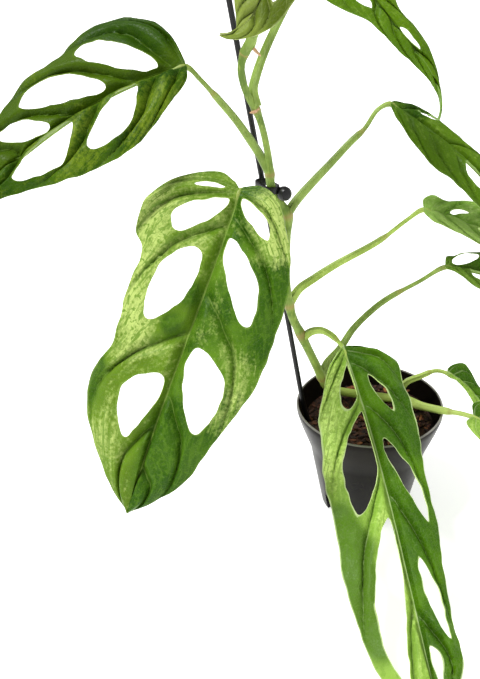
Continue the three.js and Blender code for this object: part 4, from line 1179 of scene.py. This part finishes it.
clip_black, nodes, shader = new_material("Clip_black_plastic", 0.35, Specular_IOR_Level=0.3)
paint(nodes, shader, nodes.mix(nodes.noise(nodes.place(), 300, 2.0), "0E0E0F", "1A1A1B"))

bark, nodes, shader = new_material("Bark_chips", 0.85)
fibre = nodes.noise(nodes.along_z(nodes.place(), 0.5), 700, 4.0)
tint = nodes.add("ShaderNodeValToRGB", {0: nodes.attribute("along", "Fac")})
ramp = tint.color_ramp
ramp.elements[0].color, ramp.elements[1].color = linear("1E120B"), linear("A8683A")
for position, code in ((0.35, "3E2416"), (0.65, "5E3520"), (0.85, "85502C")):
    ramp.elements.new(position).color = linear(code)
colour = nodes.mix(nodes.step(fibre, 0.4, 0.7), tint.outputs[0], "2A170D")
colour = nodes.mix(0.55, tint.outputs[0], colour)
paint(nodes, shader, colour, fibre, 0.6, 0.6)

soil_ground, nodes, shader = new_material("Soil_ground", 0.95)
crumbs = nodes.noise(nodes.place(), 260, 5.0, 0.7)
colour = nodes.mix(nodes.step(crumbs, 0.35, 0.7), "140B07", "4A2A17")
paint(nodes, shader, colour, crumbs, 0.8, 1.0)
print("materials:", len(bpy.data.materials))

# %% [markdown]
# ## The leaves
#
# Each leaf is one piece: the blade, and the petiole that runs on under it as the midrib's keel.
# A petiole of this plant is clasped by a thin sheath along its lower two thirds, has a groove
# above, and swells into a little joint just below the blade. A petiole that is given as stout
# is thicker by that factor.

# %% Build the eleven leaves
PETIOLE_PROFILE = [(0, 3.3), (0.12, 3.1), (0.4, 2.6), (0.66, 2.3), (0.7, 1.7), (0.86, 1.6),
                   (0.93, 2.1), (0.97, 1.9), (1, 1.2)]
PETIOLE_STEP = 2.2
PETIOLE_SIDES = 20
PETIOLE_MEETS = ((0, 1.8), (8, 2.0))  # mm along the blade, and mm below it
SHEATH_END = 0.68
WING_AT, WING_WIDTH, WING_RISE = 0.6, 0.2, 0.16  # two in radians, and a share of the radius
GROOVE_WIDTH, GROOVE_DEPTH = 0.3, 0.22
JOINT_AT = 0.95
KEEL_STEP = 4
KEEL_START, KEEL_END = 12.0, 0.86  # mm, and a share of the length
KEEL_RADII = (1.25, 0.3)
TIP_REACH, TIP_HALF = 2.5, 0.5


def keel_points(blade, size):
    """The line of the keel under the blade, with its radii."""
    points, radii = [], []
    x = KEEL_START
    while x < blade.length * KEEL_END:
        share = x / blade.length
        radius = lerp(*KEEL_RADII, share) * lerp(0.6, 1, size)
        origin, _, up, _ = blade.frame(x)
        drop = (MIDRIB_DEPTH * (1 - 0.8 * share) + REST) * size + BLADE_THICKNESS / 2
        drop += radius * 0.6
        points.append(origin - up * drop)
        radii.append(radius)
        x += KEEL_STEP
    return points, radii


def add_petiole(bm, blade, leaf):
    size = relief_size(leaf)
    lead = []
    for x, drop in PETIOLE_MEETS:
        origin, _, up, _ = blade.frame(x)
        lead.append(origin - up * drop)
    points = [point for point, _ in even_path(leaf["petiole"] + lead, PETIOLE_STEP)]
    count = len(points)
    stout = leaf.get("stout", 1)
    radii = [profile_at(PETIOLE_PROFILE, i / (count - 1)) * stout for i in range(count)]
    keel, keel_radii = keel_points(blade, size)
    radii[-1] = max(radii[-1], keel_radii[0])

    def outline(i, angle):
        share = i / (count - 1)
        radius = (radii + keel_radii)[i]
        if share > 1:
            return radius
        wings = sum(math.exp(-((angle - place) / WING_WIDTH) ** 2)
                    for place in (-WING_AT, WING_AT))
        wings *= clamp((SHEATH_END - share) / 0.03)
        groove = math.exp(-(angle / GROOVE_WIDTH) ** 2) * clamp((1 - share) * 8)
        return radius * (1 + WING_RISE * wings - GROOVE_DEPTH * groove)

    def mark(i):
        share = i / (count - 1)
        step = math.exp(-((share - SHEATH_END) / 0.02) ** 2)
        joint = 0.5 * math.exp(-((share - JOINT_AT) / 0.04) ** 2)
        return max(step, joint) if share <= 1 else 0.0

    faces = add_stalk(bm, points + keel, outline, PETIOLE_SIDES, Vector((0, 0, 1)), mark)
    for face in faces:
        face.material_index = PETIOLE


PALE_PETIOLES = ("bright", "fresh")
finishes = {}
for i, finish in enumerate(LEAF_FINISHES):
    stalk = petiole_pale if finish in PALE_PETIOLES else petiole_green
    finishes[finish] = [leaf_top(finish, i * 3.7), leaf_under(finish), leaf_rim(finish), stalk]

for name, leaf in LEAVES.items():
    for side in ("left", "right"):  # each half runs out to a fine tip
        root, _, half = leaf[side][-1]
        leaf[side][-1] = (root, root + TIP_REACH, min(half, TIP_HALF))
    blade = blades[name]
    bm = new_mesh()
    flat_blade(bm, leaf, blade.length)
    number_points(bm, leaf)
    bend_blade(bm, blade, leaf)
    bm = thicken_blade(bm)
    add_petiole(bm, blade, leaf)
    finish_piece(bm, name.replace("leaf_", "fine_leaf_"), finishes[leaf["finish"]], "leaf", name)

# %% [markdown]
# ## The vine
#
# The vine roots in the soil near the rim, creeps over it, and climbs the stake. It swells at
# each node, where a leaf was or is, and short aerial roots come out there.

# %% Stem and aerial roots
STEM_PATH = [
    (39, 11, 62, 2.4), (41, 13, 77, 3), (37, 15.5, 88, 3.6), (29, 18, 89, 3.6),
    (17, 22, 89, 3.6), (-6, 28, 89.5, 3.6), (-19, 29.5, 91.5, 3.6), (-29, 25, 97, 3.6),
    (-34, 20, 105, 3.6), (-38, 15.5, 116, 3.6), (-45, 10, 135, 3.5), (-57, 5.5, 165, 3.4),
    (-63, 3.5, 180, 3.4), (-66, 2, 193, 3.5), (-68.5, -1, 213, 3.3), (-69, -3.5, 233, 3.3),
    (-68.5, -6.5, 255, 3.3), (-68, -9, 273, 3.4), (-75, -10, 285, 3.1),
    (-79.5, -11.5, 296, 3.1), (-80.5, -13, 306, 3), (-81.5, -15, 320, 2.4),
    (-85.5, -17, 341, 2.3), (-89.5, -18.5, 353, 2.6), (-93.5, -20, 360.5, 2.4),
    (-97, -21.5, 370, 2.4), (-98.5, -23, 381, 2.4), (-96, -24, 391, 2.6),
    (-91, -25, 397, 2.5), (-90, -25.5, 406, 2.3), (-89, -27, 420, 2.2),
    (-92, -26, 441, 2.2), (-96, -24, 456, 2), (-99, -23, 474, 1.6), (-103, -20, 492, 1),
]
NODE_INDEXES = (3, 9, 11, 13, 15, 17, 20, 23, 27, 31)
AERIAL_ROOTS = [
    ((-88, -20, 354), (-93.5, -24, 352.5), 1.2), ((-92, -25, 396), (-86, -29, 390), 1.2),
    ((-68, 0, 193), (-62, 9, 188), 1.3), ((-80, -11, 306), (-84, -3, 303), 1.2),
    ((-46, 9, 135), (-41, 16, 129), 1.4),
]
STEM_STEP, STEM_SIDES = 1.6, 24
ROOT_STEP, ROOT_SIDES = 0.7, 12
ROOT_SAG = Vector((0.6, 0.4, -0.8))
NODE_RISE = 0.7
ROOT = 1  # the second material of the stem

bm = new_mesh()
path = even_path([point[:3] for point in STEM_PATH], STEM_STEP)
stem_radii = [point[3] for point in STEM_PATH]


def node_swelling(at, width=0.3):
    return max(math.exp(-((at - index) / width) ** 2) for index in NODE_INDEXES)


def stem_outline(i, angle):
    at = path[i][1]
    ridge = 0.05 * math.sin(3 * angle + at) + 0.03 * math.sin(7 * angle - at * 2)
    return through(stem_radii, at) * (1 + ridge * 0.6) + NODE_RISE * node_swelling(at)


add_stalk(bm, [point for point, _ in path], stem_outline, STEM_SIDES, Vector((0, -1, 0)),
          lambda i: node_swelling(path[i][1], 0.14))
for start, end, radius in AERIAL_ROOTS:
    start, end = Vector(start), Vector(end)
    middle = start.lerp(end, 0.5) + ROOT_SAG
    root = [point for point, _ in even_path([start, middle, end], ROOT_STEP)]
    faces = add_stalk(bm, root,
                      lambda i, angle: radius * (1 - 0.75 * (i / (len(root) - 1)) ** 3),
                      ROOT_SIDES, Vector((0, 0, 1)))
    for face in faces:
        face.material_index = ROOT
finish_piece(bm, "fine_vine_stem", [vine_green, root_tan], "stem", "vine_stem")

# %% [markdown]
# ## Stake and clip
#
# The stake is a thin plastic-coated rod with a rounded top, bowed a little by the weight of
# the plant. A small clip is a band round stake and vine, with a button to hold it by.

# %% Stake and clip
STAKE_RADIUS = 2
STAKE_PATH = [
    (-33, 8, 28), (-41.5, 6.8, 58), (-47.4, 6, 74), (-52, 5.6, 88), (-54.6, 5.6, 100),
    (-64.2, 8, 160), (-70.5, 9, 200), (-78.3, 7, 250), (-94, 3, 350), (-109.7, 0, 450),
    (-117.6, -1, 500),
]
CLIP_WALL = 1.3
CLIP_REACH = 4.1
CLIP_HEIGHT = 5
CLIP_AT = 294
CLIP_STAKE_AT = Vector((-85.2, -0.8, CLIP_AT))
CLIP_STEM_AT = Vector((-79, -11.2, CLIP_AT))
CLIP_KNOB_AT = Vector((-70.6, -13.5, 291))
CLIP_KNOB_TURN, CLIP_KNOB_TILT = 24, 78  # degrees
CLIP_KNOB = [(0, -4.6), (3.4, -4.2), (4.9, -2.4), (5.2, 0), (4.9, 2.4), (3.4, 4.2), (0, 4.6)]

bm = new_mesh()
path = [point for point, _ in even_path(STAKE_PATH, 4)]
tip = (path[-1] - path[-2]).normalized()
last = path.pop()
ends = [(last - tip * 2, 1.0), (last - tip, 0.88), (last - tip * 0.35, 0.56), (last, 0.2)]
stake_radii = [STAKE_RADIUS] * len(path) + [STAKE_RADIUS * share for _, share in ends]
path += [point for point, _ in ends]
add_stalk(bm, path, lambda i, angle: stake_radii[i], 24, Vector((0, -1, 0)))
finish_piece(bm, "fine_stake", [stake_black], "stake", "stake")

# %% Clip
def around_both(radius, height):
    """A closed block round the stake and the vine: a long hole shape, set on end."""
    bm = bmesh.new()
    centre = (CLIP_STAKE_AT + CLIP_STEM_AT) / 2
    axis = CLIP_STEM_AT - CLIP_STAKE_AT
    turned = math.atan2(axis.y, axis.x)
    ring = bmesh.ops.create_circle(bm, cap_ends=True, segments=64, radius=radius)["verts"]
    for vert in ring:
        vert.co.x += axis.length / 2 * (1 if vert.co.x > 0 else -1)
    faces = list({face for vert in ring for face in vert.link_faces})
    top = bmesh.ops.extrude_face_region(bm, geom=faces)["geom"]
    verts = [part for part in top if isinstance(part, bmesh.types.BMVert)]
    bmesh.ops.translate(bm, verts=ring, vec=(0, 0, -height / 2))
    bmesh.ops.translate(bm, verts=verts, vec=(0, 0, height / 2))
    turn = Matrix.Rotation(turned, 3, "Z")
    bmesh.ops.rotate(bm, verts=list(bm.verts), cent=(0, 0, 0), matrix=turn)
    bmesh.ops.translate(bm, verts=list(bm.verts), vec=centre)
    return bm


def spun(profile, steps):
    """A closed body spun round the z axis from (radius, height) pairs."""
    bm = bmesh.new()
    verts = [bm.verts.new((reach, 0, height)) for reach, height in profile]
    edges = [bm.edges.new(pair) for pair in zip(verts, verts[1:])]
    bmesh.ops.spin(bm, geom=verts + edges, cent=(0, 0, 0), axis=(0, 0, 1),
                   angle=2 * math.pi, steps=steps, use_merge=True)
    bmesh.ops.remove_doubles(bm, verts=list(bm.verts), dist=1e-4)
    bmesh.ops.recalc_face_normals(bm, faces=list(bm.faces))
    return bm


def scaled_by(bm, factor):
    bmesh.ops.scale(bm, vec=(factor,) * 3, verts=list(bm.verts))
    return bm


def helper(bm, name):
    """A helper object for a cut, scaled from millimetres to metres."""
    bmesh.ops.recalc_face_normals(bm, faces=list(bm.faces))
    return to_object(scaled_by(bm, MM), name)


def joined(piece, others, operation):
    """The mesh of a helper object after Boolean steps; all the helpers are taken away."""
    for other in others:
        step = piece.modifiers.new(operation.title(), "BOOLEAN")
        step.operation = operation
        step.solver = "EXACT"
        step.object = other
    bm = evaluated(new_mesh(), piece, *others)
    bmesh.ops.remove_doubles(bm, verts=list(bm.verts), dist=2e-6)
    bmesh.ops.dissolve_degenerate(bm, edges=list(bm.edges), dist=2e-6)
    return bm


band = around_both(CLIP_REACH + CLIP_WALL, CLIP_HEIGHT)
band_edges = [edge for edge in band.edges if abs(edge.verts[0].co.z - edge.verts[1].co.z) < 1e-6]
bmesh.ops.bevel(band, geom=band_edges, offset=0.4, segments=2, profile=0.5, affect="EDGES",
                material=-1)
inner = around_both(CLIP_REACH, 3 * CLIP_HEIGHT)
knob = spun(CLIP_KNOB, 40)
lean = (Matrix.Rotation(math.radians(CLIP_KNOB_TURN), 3, "Z")
        @ Matrix.Rotation(math.radians(CLIP_KNOB_TILT), 3, "X"))
bmesh.ops.rotate(knob, verts=list(knob.verts), cent=(0, 0, 0), matrix=lean)
bmesh.ops.translate(knob, verts=list(knob.verts), vec=CLIP_KNOB_AT)
ring = joined(helper(band, "band"), [helper(inner, "inner")], "DIFFERENCE")
ring = helper(scaled_by(ring, 1 / MM), "ring")
clip = joined(ring, [helper(knob, "knob")], "UNION")
finish_piece(clip, "fine_plant_clip", [clip_black], "stake", "plant_clip")

# %% [markdown]
# ## The pot
#
# A nursery pot is thin blown plastic: a cone with a rounded rim, five recesses in its foot, and
# five round holes in its floor that let water out. Outside and inside are spun as closed
# bodies. The recesses are cut from the outside, and left standing inside with one wall's
# thickness round them.

# %% Pot
POT_RIM = 60
POT_WALL = 1.4
POT_STEPS = 128
POT_OUTSIDE = [
    (35.6, 0), (36.4, 0.3), (36.9, 0.9), (37.4, 1.8), (48, 60), (49.1, 63.6), (50.2, 67),
    (53.2, 75), (56.8, 85), (59, 92.5), (59.7, 95), (60, 97), (60, 98.8), (59.7, 99.6),
    (59.1, 100), (58.8, 100),
]
POT_INSIDE = [
    (0, 2.4), (35.4, 2.4), (36.2, 3), (36.6, 4.4), (46.6, 60.3), (47.6, 64), (48.7, 67.4),
    (51.6, 75.6), (55.2, 85.6), (57.4, 93), (58.1, 96), (58.2, 98.6), (58.4, 99.6),
    (58.8, 100.2), (58.8, 102), (0, 102),
]
NOTCH_COUNT, NOTCH_WIDTH, NOTCH_HEIGHT, NOTCH_REACH = 5, 15, 18, 30.5
DRAIN_HOLES, DRAIN_RADIUS, DRAIN_REACH = 5, 3.2, 22


def notch_blocks(grown):
    bm = bmesh.new()
    depth = POT_RIM - NOTCH_REACH + grown
    for i in range(NOTCH_COUNT):
        block = bmesh.ops.create_cube(bm, size=1)["verts"]
        size = (2 * depth, NOTCH_WIDTH + 2 * grown, 2 * (NOTCH_HEIGHT + grown))
        bmesh.ops.scale(bm, vec=size, verts=block)
        bmesh.ops.translate(bm, vec=(POT_RIM, 0, 0), verts=block)
        turn = Matrix.Rotation(2 * math.pi * i / NOTCH_COUNT, 3, "Z")
        bmesh.ops.rotate(bm, verts=block, cent=(0, 0, 0), matrix=turn)
    return bm


def drain_pins():
    bm = bmesh.new()
    for i in range(DRAIN_HOLES):
        pin = bmesh.ops.create_cone(bm, cap_ends=True, segments=32, radius1=DRAIN_RADIUS,
                                    radius2=DRAIN_RADIUS, depth=12)["verts"]
        angle = 2 * math.pi * (i + 0.5) / DRAIN_HOLES
        place = Vector((math.cos(angle), math.sin(angle), 0)) * DRAIN_REACH
        bmesh.ops.translate(bm, verts=pin, vec=place)
    return bm


outside = spun([(0, 0)] + POT_OUTSIDE + [(0, 100)], POT_STEPS)
inside = spun(POT_INSIDE, POT_STEPS)
hollow = joined(helper(inside, "inside"), [helper(notch_blocks(POT_WALL), "posts")],
                "DIFFERENCE")
tools = [helper(notch_blocks(0), "notches"), helper(scaled_by(hollow, 1 / MM), "hollow"),
         helper(drain_pins(), "pins")]
pot = joined(helper(outside, "outside"), tools, "DIFFERENCE")
finish_piece(pot, "fine_pot", [pot_black], "pot", "pot", sharp=math.radians(30))

# %% [markdown]
# ## Soil of bark chips
#
# Below the top there is only a plain body of soil. Its top is a bumpy disc, and on it lie some
# hundreds of chips. Each chip starts as a small cube, is stretched, and its corners are shaken.

# %% Soil
SOIL_TOP = 83
SOIL_SLOPE = (0.06, 0.03)
SOIL_RADIUS = 53.2
SOIL_SIDE = [(0, 3.0), (36.0, 3.0), (46.2, 60.5), (48.3, 67.5), (51.2, 75.7), (53.2, 81)]
TOP_RINGS = 24
TOP_FROM = 82  # everything above this height belongs to the bumpy top
BUMPS_REACH, BUMPS_FADE = 53, 6
SUNK = 1.2  # the disc lies this much lower than the middle of the chips
SOIL_GAP = 0.25
CHIPS = 420
CHIPS_REACH = 50
CHIP_LENGTH, CHIP_WIDTH, CHIP_HEIGHT = (2.2, 7.5), (1.6, 3.8), (0.8, 2)
ROUND_OFF = 0.82
shaker = random.Random(7)


def soil_height(x, y):
    return SOIL_TOP + SOIL_SLOPE[0] * x + SOIL_SLOPE[1] * y


rings = [(SOIL_RADIUS * (1 - i / TOP_RINGS), 82.5) for i in range(1, TOP_RINGS + 1)]
bm = spun(SOIL_SIDE + rings, 96)
for vert in bm.verts:
    if vert.co.z > TOP_FROM:
        reach = math.hypot(vert.co.x, vert.co.y)
        bump = noise.noise(vert.co * 0.14) * 2.2 + noise.noise(vert.co * 0.4)
        vert.co.z = (soil_height(vert.co.x, vert.co.y) - SUNK
                     + bump * clamp((BUMPS_REACH - reach) / BUMPS_FADE))
bm = joined(helper(bm, "ground"), [helper(notch_blocks(POT_WALL + SOIL_GAP), "posts")],
            "DIFFERENCE")
tint_layer, = layers_of(bm, "along")
for i in range(CHIPS):
    reach = CHIPS_REACH * math.sqrt(shaker.random())
    angle = shaker.uniform(0, 2 * math.pi)
    x, y = reach * math.cos(angle), reach * math.sin(angle)
    count = len(bm.verts)
    corners = bmesh.ops.create_cube(bm, size=1)["verts"]
    edges = list({edge for vert in corners for edge in vert.link_edges})
    bmesh.ops.subdivide_edges(bm, edges=edges, cuts=1, use_grid_fill=True)
    bm.verts.ensure_lookup_table()
    chip = bm.verts[count:]
    size = Vector([shaker.uniform(*ends) for ends in (CHIP_LENGTH, CHIP_WIDTH, CHIP_HEIGHT)])
    tint = shaker.random()
    for vert in chip:
        is_corner = all(abs(part) > 0.4 for part in vert.co)
        shake = Vector([shaker.uniform(0.86, 1.12) for _ in range(3)])
        vert.co = vert.co * size * shake * ((ROUND_OFF if is_corner else 1.0) * MM)
        vert[tint_layer] = tint
    turn = Matrix.Rotation(shaker.uniform(0, 6.3), 3, "Z")
    tilt = Matrix.Rotation(shaker.gauss(0, 0.25), 3, "X") @ Matrix.Rotation(
        shaker.gauss(0, 0.2), 3, "Y")
    bmesh.ops.rotate(bm, verts=chip, cent=(0, 0, 0), matrix=turn @ tilt)
    z = soil_height(x, y) + shaker.uniform(-1.0, 0.8)
    bmesh.ops.translate(bm, verts=chip, vec=Vector((x, y, z)) * MM)
    for face in {face for vert in chip for face in vert.link_faces}:
        face.material_index = 1
finish_piece(bm, "fine_soil", [soil_ground, bark], "soil", "soil", sharp=math.radians(35))

# %% [markdown]
# ## Light, floor and camera
#
# The plant stands on a pale floor in soft light: a broad sun from the upper left, a weak lamp
# in front on the right, and a pale sky. The floor glows a little, so that it comes out nearly
# white without more light on the plant. The camera looks down by about thirty degrees.

# %% Stage
FLOOR_GLOW = 0.62
SUN_WAY = Vector((0.4, 0.1, -0.9))
SUN_POWER, SUN_ANGLE = 3.4, 11
LAMP_AT, LAMP_TARGET = Vector((1.3, -0.6, 1.0)), Vector((-0.05, 0, 0.25))
LAMP_POWER, LAMP_SIZE = 4, 1.4
SKY_STRENGTH = 0.44


def add_light(name, kind, way, power):
    """A light that shines along a direction."""
    light = add_object(name, bpy.data.lights.new(name, kind))
    light.data.energy = power
    light.rotation_euler = way.to_track_quat("-Z", "Y").to_euler()
    return light


bm = bmesh.new()
bmesh.ops.create_grid(bm, x_segments=1, y_segments=1, size=6)
floor = to_object(bm, "studio_floor")
floor_white, nodes, shader = new_material("Floor_white", 0.9, Emission_Color=(1, 1, 1, 1),
                                          Emission_Strength=FLOOR_GLOW)
paint(nodes, shader, nodes.mix(nodes.noise(nodes.place(), 3), "F1F1F0", "F6F6F5"))
floor.data.materials.append(floor_white)

sun = add_light("soft_sun", "SUN", SUN_WAY, SUN_POWER)
sun.data.angle = math.radians(SUN_ANGLE)
lamp = add_light("fill_lamp", "AREA", LAMP_TARGET - LAMP_AT, LAMP_POWER)
lamp.data.size = LAMP_SIZE
lamp.location = LAMP_AT
world = bpy.data.worlds.new("Pale_sky")
bpy.context.scene.world = world
world.use_nodes = True
sky = world.node_tree.nodes["Background"]
sky.inputs["Color"].default_value = (1, 1, 1, 1)
sky.inputs["Strength"].default_value = SKY_STRENGTH
print("lights:", sun.name, lamp.name, world.name)

# %% Camera
CAMERA_AT = Vector((-0.105, -0.609, 0.529))
CAMERA_PITCH = math.radians(30.9)
CAMERA_ROLL = math.radians(-1.9)
CAMERA_LENS = 47.72
camera = add_object("camera", bpy.data.cameras.new("camera"))
camera.data.sensor_fit = "VERTICAL"
camera.data.sensor_height = 36
camera.data.lens = CAMERA_LENS
camera.data.clip_start = 0.02
level_right = Vector((1, 0, 0))
level_up = Vector((0, math.sin(CAMERA_PITCH), math.cos(CAMERA_PITCH)))
right = level_right * math.cos(CAMERA_ROLL) + level_up * math.sin(CAMERA_ROLL)
up = level_up * math.cos(CAMERA_ROLL) - level_right * math.sin(CAMERA_ROLL)
turned = Matrix((right, up, right.cross(up))).transposed().to_4x4()
camera.matrix_world = Matrix.Translation(CAMERA_AT) @ turned
bpy.context.scene.camera = camera
bpy.context.scene.view_settings.view_transform = "Standard"
